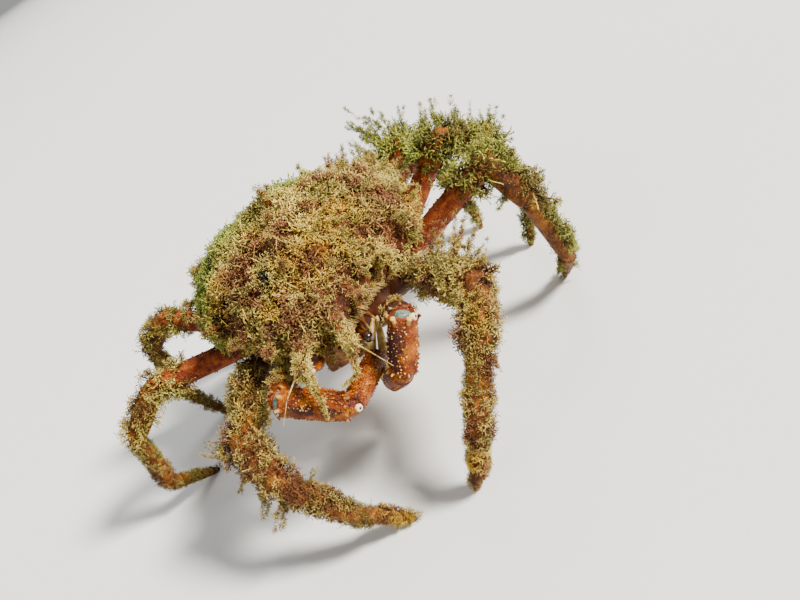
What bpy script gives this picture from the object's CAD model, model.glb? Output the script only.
"""Looks of a european spider crab, overgrown with algal turf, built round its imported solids.

The crab looks along -Y, its left side is +X and its feet stand on the plane z = 0.
Plans are in millimetres about the plane of the shell's margin, and meshes are in metres.
"""

import logging
import math
from collections.abc import Callable, Sequence
from dataclasses import dataclass, field
from enum import Enum
from typing import NamedTuple

import bmesh
import bpy
import numpy as np
from mathutils import Matrix, Vector, noise


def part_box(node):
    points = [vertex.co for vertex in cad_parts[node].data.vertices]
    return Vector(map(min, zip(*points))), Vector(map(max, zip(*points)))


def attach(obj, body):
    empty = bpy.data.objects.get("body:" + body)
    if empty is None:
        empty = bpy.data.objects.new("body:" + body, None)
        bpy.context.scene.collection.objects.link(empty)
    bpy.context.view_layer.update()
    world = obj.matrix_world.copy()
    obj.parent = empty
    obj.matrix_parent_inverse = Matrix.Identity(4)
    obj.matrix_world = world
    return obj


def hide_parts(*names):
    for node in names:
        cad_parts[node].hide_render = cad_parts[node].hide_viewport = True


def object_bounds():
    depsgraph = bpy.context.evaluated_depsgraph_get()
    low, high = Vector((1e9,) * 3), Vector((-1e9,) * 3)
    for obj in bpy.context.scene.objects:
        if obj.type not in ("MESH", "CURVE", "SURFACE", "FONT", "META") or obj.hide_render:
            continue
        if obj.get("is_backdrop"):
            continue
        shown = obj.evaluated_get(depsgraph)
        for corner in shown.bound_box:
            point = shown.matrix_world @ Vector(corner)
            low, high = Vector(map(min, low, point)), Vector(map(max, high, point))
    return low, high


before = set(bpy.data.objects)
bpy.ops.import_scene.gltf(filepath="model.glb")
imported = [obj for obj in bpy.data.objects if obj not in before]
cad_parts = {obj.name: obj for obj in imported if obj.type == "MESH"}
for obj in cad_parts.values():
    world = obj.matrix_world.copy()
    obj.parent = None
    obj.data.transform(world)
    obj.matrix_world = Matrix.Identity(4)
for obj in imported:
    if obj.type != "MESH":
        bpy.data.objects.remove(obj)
CAD_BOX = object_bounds()

MM = 0.001
MARGIN_HEIGHT = 80.0
JAW_PLATE_BACK = -46.3
FLOOR_CLEARANCE = 0.00004
SHARP_ANGLE = math.radians(50)
BAKE_MAP = "OFBake"
BAKE_PATCH = 0.003
FULL_TURN = 2.0 * math.pi
UP = Vector((0.0, 0.0, 1.0))
END_TURNS = (0.45, 0.9, 1.35)
SPRIG_KINDS = 6
STRAND_KINDS = 4

Colour = tuple[float, float, float]
Pairs = tuple[tuple[float, float], ...]
Place = tuple[float, float, float]
Spots = tuple[tuple[float, ...], ...]
Frond = tuple[Place, Place, float]
Thorn = tuple[Vector, Vector, float]
Form = bmesh.types.BMesh
Material = bpy.types.Material
Socket = bpy.types.NodeSocket
Rng = np.random.Generator
Values = dict[str, np.ndarray]

log = logging.getLogger("spider_crab")


def body_shift() -> np.ndarray:
    """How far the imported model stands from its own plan.

    Returns:
        The shift in metres from the plan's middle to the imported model's.
    """
    _, high_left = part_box("eye_left")
    low_right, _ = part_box("eye_right")
    _, jaw_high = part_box("maxilliped_left")
    return np.array((0.5 * (high_left.x + low_right.x), jaw_high.y - JAW_PLATE_BACK * MM,
                     MARGIN_HEIGHT * MM))


SHIFT = body_shift()


def place(x: float | np.ndarray, y: float | np.ndarray, z: float | np.ndarray) -> np.ndarray:
    """Places on the plan, in millimetres to the left, rear and up, as rows of metres."""
    return np.stack(np.broadcast_arrays(x, y, z), axis=-1) * MM + SHIFT


def spot(point: Sequence[float], sign: float = 1.0) -> Vector:
    """One place on the plan as a vector in metres, on the crab's right for a sign of -1."""
    return Vector(place(point[0] * sign, *point[1:]))


def blend(pairs: Pairs, at: float | np.ndarray) -> np.ndarray:
    """Read a smooth value from a short ladder.

    Args:
        pairs: Places and the values there, in order.
        at: Where to read.

    Returns:
        The value at each place.
    """
    knots, values = (np.array(column, float) for column in zip(*pairs))
    index = np.clip(np.searchsorted(knots, at) - 1, 0, len(knots) - 2)
    share = np.clip((at - knots[index]) / (knots[index + 1] - knots[index]), 0.0, 1.0)
    share = share * share * (3.0 - 2.0 * share) * 0.5 + share * 0.5
    return values[index] + (values[index + 1] - values[index]) * share


def ladder(values: Sequence[float]) -> Pairs:
    """Values spread evenly from 0 to 1, as pairs for blend()."""
    return tuple((index / (len(values) - 1), value) for index, value in enumerate(values))


def along_path(knots: np.ndarray, share: np.ndarray, at: np.ndarray) -> list[np.ndarray]:
    """Each column of a path's knots, read at shares of its length."""
    return [blend(tuple(zip(share, column)), at) for column in knots.T]


def smooth_between(low: float, high: float, at: float | np.ndarray) -> np.ndarray:
    """Zero below low, one above high, with a soft step between."""
    share = np.clip((np.asarray(at) - low) / (high - low), 0.0, 1.0)
    return share * share * (3.0 - 2.0 * share)


def unit(rows: np.ndarray) -> np.ndarray:
    """Rows scaled to length one."""
    return rows / np.maximum(np.linalg.norm(rows, axis=-1, keepdims=True), 1e-12)


def rumple(points: np.ndarray, scale: float, seed: float = 0.0) -> np.ndarray:
    """Soft noise from about -1 to 1 at each point, in patches of a scale in metres."""
    offset = Vector((seed, 0.0, 0.0))
    return np.array([noise.noise(Vector(point) / scale + offset) for point in points])


def on_length(start: Vector, end: Vector, radii: Sequence[float], at: np.ndarray,
              outward: np.ndarray) -> np.ndarray:
    """Places on the skin of a straight length.

    Args:
        start: Where the length starts.
        end: Where it ends.
        radii: Its half widths in millimetres.
        at: Shares of the length.
        outward: Directions out of the skin there.

    Returns:
        The places in metres.
    """
    wide = blend(ladder(radii), at)[:, None] * MM
    return np.array(start) + np.array(end - start) * at[:, None] + outward * wide


def outside(points: np.ndarray, spots: Spots) -> np.ndarray:
    """Find the points that lie in none of some spots.

    Args:
        points: The points in metres.
        spots: Each spot's place on the plan and its radius, in millimetres.

    Returns:
        True for each such point.
    """
    keep = np.ones(len(points), bool)
    for x, y, z, radius in spots:
        keep &= np.linalg.norm(points - place(x, y, z), axis=1) > radius * MM
    return keep


class Side(Enum):
    """A side of the body, with its sign on the plan."""

    LEFT = 1.0
    RIGHT = -1.0

    @property
    def label(self) -> str:
        """The side's name in node names."""
        return self.name.lower()


Leg = tuple[Side, int]


class Slot(Enum):
    """The record's material slots."""

    TURF_SHELL = "turf_shell"
    TURF_LEG = "turf_leg"
    CLAW = "claw_shell"
    FINGER = "finger"
    UNDERSIDE = "underside"
    EYE = "eye"


class Graph:
    """Lays out the shader nodes of one material."""

    def __init__(self, name: str) -> None:
        """Start a material.

        Args:
            name: Its name.
        """
        self.material = bpy.data.materials.new(name)
        self.material.use_nodes = True
        self.tree = self.material.node_tree
        self.shader = self.tree.nodes["Principled BSDF"]
        self.coords = self.tree.nodes.new("ShaderNodeTexCoord").outputs["Object"]

    def feed(self, socket: Socket, value: object) -> None:
        """Link a socket to another, or set its value.

        Args:
            socket: The input.
            value: A number, a colour or the other socket.
        """
        if isinstance(value, Socket):
            self.tree.links.new(value, socket)
        elif isinstance(value, tuple) and socket.type == "RGBA":
            socket.default_value = (*value, 1.0)
        else:
            socket.default_value = value

    def node(self, kind: str, output: str | int, inputs: dict[str | int, object],
             **settings: object) -> Socket:
        """Add a shader node.

        Args:
            kind: Its type, without the word that they all start with.
            output: The output that is wanted.
            inputs: Values or sockets for its inputs.
            **settings: Its own settings.

        Returns:
            That output.
        """
        node = self.tree.nodes.new(f"ShaderNode{kind}")
        for name, value in settings.items():
            setattr(node, name, value)
        for name, value in inputs.items():
            self.feed(node.inputs[name], value)
        return node.outputs[output]

    def attribute(self, name: str) -> Socket:
        """A value stored on the mesh, or zero where it has none."""
        return self.node("Attribute", "Fac", {}, attribute_name=name)

    def noise(self, scale: float, detail: float = 3.0, rough: float = 0.55, warp: float = 0.0) -> Socket:
        """Cloudy noise over the object, with so many patches to a metre."""
        return self.node("TexNoise", "Fac", {"Vector": self.coords, "Scale": scale, "Detail": detail,
                                             "Roughness": rough, "Distortion": warp})

    def cells(self, scale: float, feature: str = "F1") -> Socket:
        """Distance to the middle, or to the edge, of cells strewn over the object."""
        return self.node("TexVoronoi", "Distance", {"Vector": self.coords, "Scale": scale},
                         feature=feature)

    def mix(self, factor: object, first: object, second: object, mode: str = "MIX") -> Socket:
        """Two colours mixed by a factor."""
        return self.node("Mix", 2, {0: factor, 6: first, 7: second}, data_type="RGBA", blend_type=mode)

    def sum(self, operation: str, first: object, second: object) -> Socket:
        """One step of arithmetic."""
        return self.node("Math", 0, {0: first, 1: second}, operation=operation)

    def step(self, value: Socket, low: float, high: float, start: float = 0.0,
             end: float = 1.0) -> Socket:
        """Map a value's range to another, held at both ends."""
        return self.node("MapRange", "Result", {"Value": value, "From Min": low, "From Max": high,
                                                "To Min": start, "To Max": end})

    def bump(self, height: Socket, distance: float, strength: float = 1.0) -> Socket:
        """Relief that is too fine for the mesh."""
        return self.node("Bump", "Normal", {"Height": height, "Distance": distance,
                                            "Strength": strength})

    def near(self, spots: Spots, ragged: float = 0.040) -> Socket:
        """How near a point is to any of some spots on the plan.

        Args:
            spots: Each spot's place and its radius, in millimetres.
            ragged: How far the edge wanders, in metres.

        Returns:
            One in a spot, falling to zero round it.
        """
        wander = self.sum("MULTIPLY", self.sum("SUBTRACT", self.noise(150.0, 4.0, 0.7), 0.5), ragged)
        share = None
        for x, y, z, radius in spots:
            away = self.node("VectorMath", "Value", {0: self.coords, 1: tuple(place(x, y, z))},
                             operation="DISTANCE")
            here = self.step(self.sum("ADD", away, wander), 0.6 * radius * MM, 1.15 * radius * MM,
                             1.0, 0.0)
            share = here if share is None else self.sum("MAXIMUM", share, here)
        return share

    def ramp(self, factor: Socket, stops: Sequence[tuple[float, Colour]]) -> Socket:
        """Colour a factor.

        Args:
            factor: The factor.
            stops: Places along it and the colours there.

        Returns:
            The colour.
        """
        colour = self.node("ValToRGB", "Color", {"Fac": factor})
        elements = colour.node.color_ramp.elements
        while len(elements) < len(stops):
            elements.new(0.5)
        for element, (element.position, rgb) in zip(elements, stops):
            element.color = (*rgb, 1.0)
        return colour

    def dress(self, colour: object, roughness: object, **sockets: object) -> Material:
        """Finish the material.

        Args:
            colour: Base colour.
            roughness: Roughness.
            **sockets: Further shader inputs, with underscores for spaces.

        Returns:
            The finished material.
        """
        for name, value in {"Base Color": colour, "Roughness": roughness, **sockets}.items():
            self.feed(self.shader.inputs[name.replace("_", " ")], value)
        return self.material


@dataclass(frozen=True)
class TurfFinish:
    """Short branched algae: dark at the root, tan, olive and mauve in patches, cream at the tips."""

    name: str = "algal turf"
    root: Colour = (0.020, 0.008, 0.003)
    stem: Colour = (0.20, 0.085, 0.016)
    body: Colour = (0.50, 0.35, 0.060)
    tip: Colour = (0.94, 0.75, 0.21)
    gold: Colour = (0.80, 0.44, 0.022)
    gold_tip: Colour = (1.0, 0.70, 0.105)
    mauve_stem: Colour = (0.17, 0.040, 0.014)
    mauve_tip: Colour = (0.62, 0.27, 0.10)
    olive_stem: Colour = (0.12, 0.085, 0.008)
    olive_tip: Colour = (0.62, 0.50, 0.10)
    green_stem: Colour = (0.095, 0.125, 0.007)
    green_tip: Colour = (0.47, 0.56, 0.075)
    hollow: Colour = (0.010, 0.016, 0.010)
    gold_spots: Spots = (
        (32, -23, 34, 14), (28, -42, 24, 8), (-16, -52, 21, 8), (41, -37, 9, 5))
    mauve_spots: Spots = (
        (-29, -26, 33, 12), (-25, -42, 25, 7), (2, -14, 43, 9), (30, 14, 42, 9), (51, 14, 33, 9),
        (56, -7, 23, 10), (49, -26, 10, 8), (9, -46, 28, 6), (24, -52, 14, 8))
    hollow_spots: Spots = ((-15, -39, 31, 4.0), (-13, -43, 29, 3.0))
    patch_scale: float = 42.0
    roughness: float = 0.58

    def make(self) -> Material:
        """Lay out the material.

        Returns:
            The material.
        """
        graph = Graph(self.name)
        tip = graph.attribute("tip")
        tone = graph.attribute("tone")
        cream = graph.ramp(tip, ((0.0, self.root), (0.32, self.stem), (0.62, self.body), (0.92, self.tip)))
        mauve = graph.ramp(tip, ((0.0, self.root), (0.45, self.mauve_stem), (1.0, self.mauve_tip)))
        olive = graph.ramp(tip, ((0.0, self.root), (0.40, self.olive_stem), (1.0, self.olive_tip)))
        green = graph.ramp(tip, ((0.0, self.root), (0.35, self.green_stem), (1.0, self.green_tip)))
        gold = graph.ramp(tip, ((0.0, self.root), (0.32, self.stem), (0.62, self.gold),
                                (0.92, self.gold_tip)))
        gilt = graph.sum("MAXIMUM", graph.step(graph.noise(self.patch_scale * 0.7, 3.0), 0.55, 0.65),
                         graph.near(self.gold_spots))
        cream = graph.mix(gilt, cream, gold)
        cloud = graph.noise(self.patch_scale, 4.0, 0.6)
        mauve_share = graph.step(graph.sum("SUBTRACT", cloud, graph.sum("MULTIPLY", tone, 0.16)),
                                 0.44, 0.52)
        mauve_share = graph.sum("MAXIMUM", mauve_share, graph.near(self.mauve_spots))
        colour = graph.mix(mauve_share, cream, mauve)
        drift = graph.noise(self.patch_scale * 1.7, 3.0, 0.6, 0.4)
        olive_share = graph.step(graph.sum("ADD", drift, graph.sum("MULTIPLY", tone, 0.14)), 0.62, 0.72)
        colour = graph.mix(olive_share, colour, olive)
        colour = graph.mix(graph.attribute("green"), colour, green)
        colour = graph.mix(1.0, colour, graph.step(tone, 0.0, 1.0, 0.34, 1.0), "MULTIPLY")
        colour = graph.mix(graph.near(self.hollow_spots, 0.016), colour, self.hollow)
        relief = graph.bump(graph.noise(2600.0, 2.0), 0.0002, 0.6)
        return graph.dress(colour, self.roughness, Normal=relief, Specular_IOR_Level=0.25)


@dataclass(frozen=True)
class ShellFinish:
    """Orange-red crab shell with a net of dark lines, dark blotches and pale knobs."""

    name: str = "orange-red shell"
    deep: Colour = (0.050, 0.006, 0.001)
    body: Colour = (0.215, 0.034, 0.0004)
    bright: Colour = (0.56, 0.175, 0.001)
    stain: Colour = (0.040, 0.010, 0.008)
    pale: Colour = (0.84, 0.52, 0.14)
    coarse: float = 120.0
    grain: float = 1300.0
    net: float = 0.55
    relief: float = 0.0004
    roughness: float = 0.36
    gloss: float = 0.20

    def make(self) -> Material:
        """Lay out the material.

        Returns:
            The material.
        """
        graph = Graph(self.name)
        cloud = graph.noise(self.coarse, 5.0, 0.62)
        colour = graph.ramp(cloud, ((0.30, self.deep), (0.50, self.body), (0.72, self.bright)))
        net = graph.cells(self.grain, "DISTANCE_TO_EDGE")
        colour = graph.mix(graph.step(net, 0.02, 0.16, self.net, 0.0), colour, self.deep)
        speckle = graph.step(graph.cells(self.grain * 0.55), 0.10, 0.34, 0.6, 0.0)
        colour = graph.mix(speckle, colour, self.bright)
        ragged = graph.sum("MULTIPLY", graph.sum("SUBTRACT", graph.noise(620.0, 3.0), 0.5), 1.3)
        stain = graph.sum("ADD", graph.attribute("mark"), ragged)
        colour = graph.mix(graph.step(stain, 0.40, 0.74), colour, self.stain)
        colour = graph.mix(graph.attribute("pale"), colour, self.pale)
        height = graph.sum("ADD", graph.sum("MULTIPLY", graph.step(net, 0.0, 0.25), 0.5),
                           graph.sum("MULTIPLY", cloud, 1.2))
        roughness = graph.step(cloud, 0.3, 0.7, self.roughness + 0.14, self.roughness - 0.06)
        return graph.dress(colour, roughness, Normal=graph.bump(height, self.relief),
                           Specular_IOR_Level=self.gloss)


@dataclass(frozen=True)
class MembraneFinish:
    """Thin bluish-white skin that closes the joints."""

    name: str = "joint membrane"
    light: Colour = (0.14, 0.19, 0.145)
    shade: Colour = (0.020, 0.034, 0.024)
    roughness: float = 0.22

    def make(self) -> Material:
        """Lay out the material.

        Returns:
            The material.
        """
        graph = Graph(self.name)
        cloud = graph.noise(420.0, 4.0, 0.6, 0.8)
        colour = graph.ramp(cloud, ((0.32, self.shade), (0.58, self.light)))
        relief = graph.bump(graph.noise(900.0, 3.0), 0.0004, 0.8)
        return graph.dress(colour, self.roughness, Normal=relief)


@dataclass(frozen=True)
class HornFinish:
    """Bare horn of the fingers and claws' points, tan to olive-white with dark streaks."""

    name: str = "tan horn"
    dark: Colour = (0.10, 0.045, 0.010)
    body: Colour = (0.36, 0.23, 0.05)
    light: Colour = (0.62, 0.48, 0.18)
    roughness: float = 0.34

    def make(self) -> Material:
        """Lay out the material.

        Returns:
            The material.
        """
        graph = Graph(self.name)
        cloud = graph.noise(260.0, 4.0, 0.6, 0.5)
        colour = graph.ramp(cloud, ((0.30, self.dark), (0.48, self.body), (0.66, self.light)))
        colour = graph.mix(graph.attribute("pale"), colour, self.light)
        relief = graph.bump(graph.noise(1500.0, 3.0), 0.00025, 0.8)
        return graph.dress(colour, self.roughness, Normal=relief)


@dataclass(frozen=True)
class UndersideFinish:
    """Pale red-and-cream plates of the underside, stained in their grooves."""

    name: str = "underside plates"
    groove: Colour = (0.05, 0.014, 0.005)
    body: Colour = (0.24, 0.080, 0.025)
    light: Colour = (0.52, 0.29, 0.12)
    roughness: float = 0.46

    def make(self) -> Material:
        """Lay out the material.

        Returns:
            The material.
        """
        graph = Graph(self.name)
        cloud = graph.noise(90.0, 5.0, 0.6)
        colour = graph.ramp(cloud, ((0.32, self.groove), (0.50, self.body), (0.68, self.light)))
        colour = graph.mix(graph.attribute("mark"), colour, self.groove)
        grain = graph.cells(900.0)
        relief = graph.bump(graph.sum("ADD", grain, graph.noise(700.0, 3.0)), 0.00025, 0.8)
        return graph.dress(colour, self.roughness, Normal=relief, Specular_IOR_Level=0.2)


@dataclass(frozen=True)
class CorneaFinish:
    """Dark, wet cornea with the fine pits of a compound eye."""

    name: str = "dark cornea"
    dark: Colour = (0.010, 0.005, 0.003)
    brown: Colour = (0.040, 0.014, 0.005)

    def make(self) -> Material:
        """Lay out the material.

        Returns:
            The material.
        """
        graph = Graph(self.name)
        colour = graph.mix(graph.step(graph.noise(500.0, 3.0), 0.4, 0.65), self.dark, self.brown)
        relief = graph.bump(graph.cells(5200.0), 0.00004, 0.6)
        return graph.dress(colour, 0.16, Normal=relief, Coat_Weight=0.5, Coat_Roughness=0.06)


@dataclass(frozen=True)
class FloorFinish:
    """Plain pale studio floor."""

    name: str = "pale floor"
    colour: Colour = (0.78, 0.78, 0.76)

    def make(self) -> Material:
        """Lay out the material.

        Returns:
            The material.
        """
        graph = Graph(self.name)
        cloud = graph.step(graph.noise(3.0, 2.0), 0.3, 0.7, 0.985, 1.0)
        colour = graph.mix(1.0, self.colour, cloud, "MULTIPLY")
        return graph.dress(colour, 0.9, Specular_IOR_Level=0.2)


@dataclass(frozen=True)
class Section:
    """One ring of a loft: its centre, the way it faces, and its half sizes in metres."""

    centre: Vector
    ahead: Vector
    wide: float
    tall: float

    def matrix(self, up: Vector) -> Matrix:
        """The ring's place.

        Args:
            up: Direction that the ring's tall axis leans to.

        Returns:
            A matrix that takes the unit circle to the ring.
        """
        ahead = self.ahead.normalized()
        side = up.cross(ahead).normalized()
        turn = Matrix((side, ahead.cross(side), ahead)).transposed().to_4x4()
        size = Matrix.Diagonal((self.wide, self.tall, min(self.wide, self.tall), 1.0))
        return Matrix.Translation(self.centre) @ turn @ size


def loft(sections: Sequence[Section], sides: int, up: Vector) -> Form:
    """Closed form through a row of rings.

    Args:
        sections: The rings, in order.
        sides: Corners of each ring.
        up: Direction that stays up along the form.

    Returns:
        The form.
    """
    bm = bmesh.new()
    bmesh.ops.create_circle(bm, segments=sides, radius=1.0)
    before = sections[0].matrix(up)
    bmesh.ops.transform(bm, matrix=before, verts=bm.verts)
    edges = bm.edges[:]
    ends = [edges]
    for section in sections[1:]:
        made = bmesh.ops.extrude_edge_only(bm, edges=edges)["geom"]
        edges = [part for part in made if isinstance(part, bmesh.types.BMEdge)]
        corners = [part for part in made if isinstance(part, bmesh.types.BMVert)]
        after = section.matrix(up)
        bmesh.ops.transform(bm, matrix=after @ before.inverted(), verts=corners)
        before = after
    ends.append(edges)
    for end in ends:
        cap = bmesh.ops.contextual_create(bm, geom=end)["faces"]
        bmesh.ops.poke(bm, faces=cap)
    bmesh.ops.recalc_face_normals(bm, faces=bm.faces)
    return bm


def limb(points: Sequence[Vector], radii: Pairs, rings: int, sides: int, up: Vector,
         flatness: float = 1.0, dome: float = 0.35) -> Form:
    """Rounded length of a limb along a smooth line.

    Args:
        points: The line's knots, in metres.
        radii: Half widths in millimetres along the line.
        rings: Rings between the two ends.
        sides: Corners of each ring.
        up: Direction that stays up along the limb.
        flatness: Height over width.
        dome: How far each end bulges, as a share of its radius.

    Returns:
        The limb.
    """
    knots = np.array([tuple(point) for point in points])
    reach = np.concatenate(([0.0], np.cumsum(np.linalg.norm(np.diff(knots, axis=0), axis=1))))
    line = [Vector(point) for point in
            zip(*along_path(knots, reach / reach[-1], np.linspace(0.0, 1.0, rings)))]
    sections = []
    for index, point in enumerate(line):
        ahead = (line[min(index + 1, rings - 1)] - line[max(index - 1, 0)]).normalized()
        radius = float(blend(radii, index / (rings - 1))) * MM
        sections.append(Section(point, ahead, radius, radius * flatness))

    def bulge(ring: Section, way: float, turn: float) -> Section:
        """Ring of a rounded end, that far round its bulge."""
        return Section(ring.centre + ring.ahead * ring.wide * dome * math.sin(turn) * way, ring.ahead,
                       ring.wide * math.cos(turn), ring.tall * math.cos(turn))

    start = [bulge(sections[0], -1.0, turn) for turn in END_TURNS[::-1]]
    end = [bulge(sections[-1], 1.0, turn) for turn in END_TURNS]
    return loft([*start, *sections, *end], sides, up)


def thorn(root: Vector, tip: Vector, radius: float, sides: int = 10, bend: Vector | None = None,
          blunt: float = 0.14) -> Form:
    """Pointed spine with a flared foot.

    Args:
        root: Middle of its foot, in metres.
        tip: Its point, in metres.
        radius: Half width of its foot in millimetres.
        sides: Corners of each ring.
        bend: How far its middle is pushed aside, in metres.
        blunt: Half width of its point as a share of the foot's.

    Returns:
        The spine.
    """
    ahead = (tip - root).normalized()
    aside = bend or Vector((0.0, 0.0, 0.0))
    shape = ((0.0, 1.0), (0.12, 0.78), (0.3, 0.6), (0.55, 0.44), (0.8, 0.28), (0.94, blunt + 0.04),
             (1.0, blunt * 0.4))
    sections = [Section(root.lerp(tip, at) + aside * math.sin(math.pi * at), ahead, radius * MM * wide,
                        radius * MM * wide) for at, wide in shape]
    return loft(sections, sides, ahead.orthogonal())


def gather(forms: Sequence[Form]) -> Form:
    """Join forms to one.

    Args:
        forms: The forms, which are used up.

    Returns:
        The joined form.
    """
    whole = bmesh.new()
    for form in forms:
        part = bpy.data.meshes.new("part")
        form.to_mesh(part)
        form.free()
        whole.from_mesh(part)
        bpy.data.meshes.remove(part)
    return whole


def store(mesh: bpy.types.Mesh, values: Values) -> None:
    """Keep vertex values by name on a mesh, for its materials."""
    for name, rows in values.items():
        mesh.attributes.new(name, "FLOAT", "POINT").data.foreach_set("value", np.asarray(rows, np.float32))


def dress_piece(mesh: bpy.types.Mesh, finishes: Sequence[Material],
                replaced: Sequence[str] = ()) -> None:
    """Show a mesh as a piece of the crab.

    Args:
        mesh: Its mesh, which has the piece's name.
        finishes: Its materials.
        replaced: Names of the nodes that it stands for.
    """
    piece = bpy.data.objects.new(mesh.name, mesh)
    for finish in finishes:
        mesh.materials.append(finish)
    bpy.context.scene.collection.objects.link(piece)
    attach(piece, "root")
    if replaced:
        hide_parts(*replaced)
    mesh.calc_loop_triangles()
    log.info("%s: %d triangles", mesh.name, len(mesh.loop_triangles))


@dataclass
class Assembly:
    """Closed forms gathered into one piece."""

    name: str
    slot: Slot
    forms: list[Form] = field(default_factory=list)

    def add(self, form: Form, finish: int = 0) -> None:
        """Take a form in.

        Args:
            form: The form, which is used up.
            finish: Index of its finish.
        """
        for face in form.faces:
            face.material_index = finish
            face.smooth = True
        self.forms.append(form)

    def build(self, finishes: Sequence[Material], replaced: Sequence[str] = (),
              paint: Callable[[np.ndarray], Values] | None = None) -> None:
        """Make the piece.

        Args:
            finishes: Its materials in the order of their indices.
            replaced: Names of the nodes that it stands for.
            paint: Gives vertex values by name for an array of points.
        """
        whole = gather(self.forms)
        floor = SHIFT[2] - MARGIN_HEIGHT * MM + FLOOR_CLEARANCE
        for vert in whole.verts:
            vert.co.z = max(vert.co.z, floor)
        mesh = bpy.data.meshes.new(self.name)
        whole.to_mesh(mesh)
        whole.free()
        mesh.set_sharp_from_angle(angle=SHARP_ANGLE)
        if paint is not None:
            points = np.empty(len(mesh.vertices) * 3)
            mesh.vertices.foreach_get("co", points)
            store(mesh, paint(points.reshape(-1, 3)))
        dress_piece(mesh, finishes, replaced)


@dataclass(frozen=True)
class Stamp:
    """A small form that is repeated many times."""

    points: np.ndarray
    faces: np.ndarray
    tips: np.ndarray

    @classmethod
    def of(cls, form: Form) -> "Stamp":
        """Take a stamp from a form that stands on the origin and is one unit tall.

        Args:
            form: The form, which is used up.

        Returns:
            The stamp.
        """
        bmesh.ops.triangulate(form, faces=form.faces)
        bmesh.ops.recalc_face_normals(form, faces=form.faces)
        form.verts.ensure_lookup_table()
        points = np.array([vert.co[:] for vert in form.verts])
        faces = np.array([[vert.index for vert in face.verts] for face in form.faces])
        form.free()
        return cls(points, faces, np.clip(points[:, 2], 0.0, 1.0))


def frames_about(axes: np.ndarray, spins: np.ndarray) -> np.ndarray:
    """Turned frames whose third axis is given.

    Args:
        axes: The third axes, one row each.
        spins: Turn about each axis in radians.

    Returns:
        One 3 by 3 matrix for each row, with the axes as its columns.
    """
    ahead = unit(axes)
    helper = np.where(np.abs(ahead[:, 2:3]) < 0.9, (0.0, 0.0, 1.0), (1.0, 0.0, 0.0))
    east = unit(np.cross(helper, ahead))
    north = np.cross(ahead, east)
    cos, sin = np.cos(spins)[:, None], np.sin(spins)[:, None]
    return np.stack((east * cos + north * sin, north * cos - east * sin, ahead), axis=2)


class Batch(NamedTuple):
    """Stamps strewn together. Each array has a row for each of them.

    Attributes:
        roots: Where each stands, in metres.
        axes: Which way each points.
        sizes: Each one's width, depth and height in metres.
        tones: Each one's shade, from 0 to 1.
        greens: How green each is, from 0 to 1.
        maps: Each root's place on the skin's unwrap.
        kinds: Which stamp each one is.
    """

    roots: np.ndarray
    axes: np.ndarray
    sizes: np.ndarray
    tones: np.ndarray
    greens: np.ndarray
    maps: np.ndarray
    kinds: np.ndarray


@dataclass
class Strewn:
    """Many stamps that make one mesh, turned by chance."""

    stamps: Sequence[Stamp]
    rng: Rng
    batches: list[Batch] = field(default_factory=list)

    def mesh(self, name: str, keep: np.ndarray | None = None) -> bpy.types.Mesh:
        """Join the stamps to one mesh.

        Args:
            name: The mesh's name.
            keep: True for the stamps that are wanted.

        Returns:
            The mesh, with the values that the materials read.
        """
        roots, axes, sizes, tones, greens, maps, kinds = (np.concatenate(rows)
                                                          for rows in zip(*self.batches))
        frames = frames_about(axes, self.rng.uniform(0.0, FULL_TURN, len(roots))) * sizes[:, None, :]
        wanted = np.ones(len(roots), bool) if keep is None else keep
        made, count = [], 0
        for kind, stamp in enumerate(self.stamps):
            which = np.flatnonzero((kinds == kind) & wanted)
            copies = roots[which, None, :] + np.einsum("nij,kj->nki", frames[which], stamp.points)
            above = copies[:, :, 2].min(axis=1) > FLOOR_CLEARANCE
            which, copies = which[above], copies[above]
            size = len(stamp.points)
            shifts = count + size * np.arange(len(which))
            local = np.stack((stamp.points[:, 0], stamp.tips - 0.5), axis=1)
            patch = maps[which, None, :] + np.clip(local, -0.5, 0.5)[None] * BAKE_PATCH
            made.append((copies.reshape(-1, 3), (stamp.faces[None] + shifts[:, None, None]).reshape(-1, 3),
                         np.tile(stamp.tips, len(which)), np.repeat(tones[which], size),
                         np.repeat(greens[which], size), patch.reshape(-1, 2)))
            count += size * len(which)
        points, corners, tip, tone, green, places = (np.concatenate(rows) for rows in zip(*made))
        mesh = bpy.data.meshes.new(name)
        mesh.vertices.add(count)
        mesh.vertices.foreach_set("co", points.astype(np.float32).ravel())
        mesh.loops.add(corners.size)
        mesh.loops.foreach_set("vertex_index", corners.astype(np.int32).ravel())
        mesh.polygons.add(len(corners))
        mesh.polygons.foreach_set("loop_start", np.arange(0, corners.size, 3, dtype=np.int32))
        mesh.update(calc_edges=True)
        store(mesh, {"tip": tip, "tone": tone, "green": green})
        chart = mesh.uv_layers.new(name=BAKE_MAP)
        chart.data.foreach_set("uv", places[corners.ravel()].astype(np.float32).ravel())
        mesh.shade_smooth()
        return mesh


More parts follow.
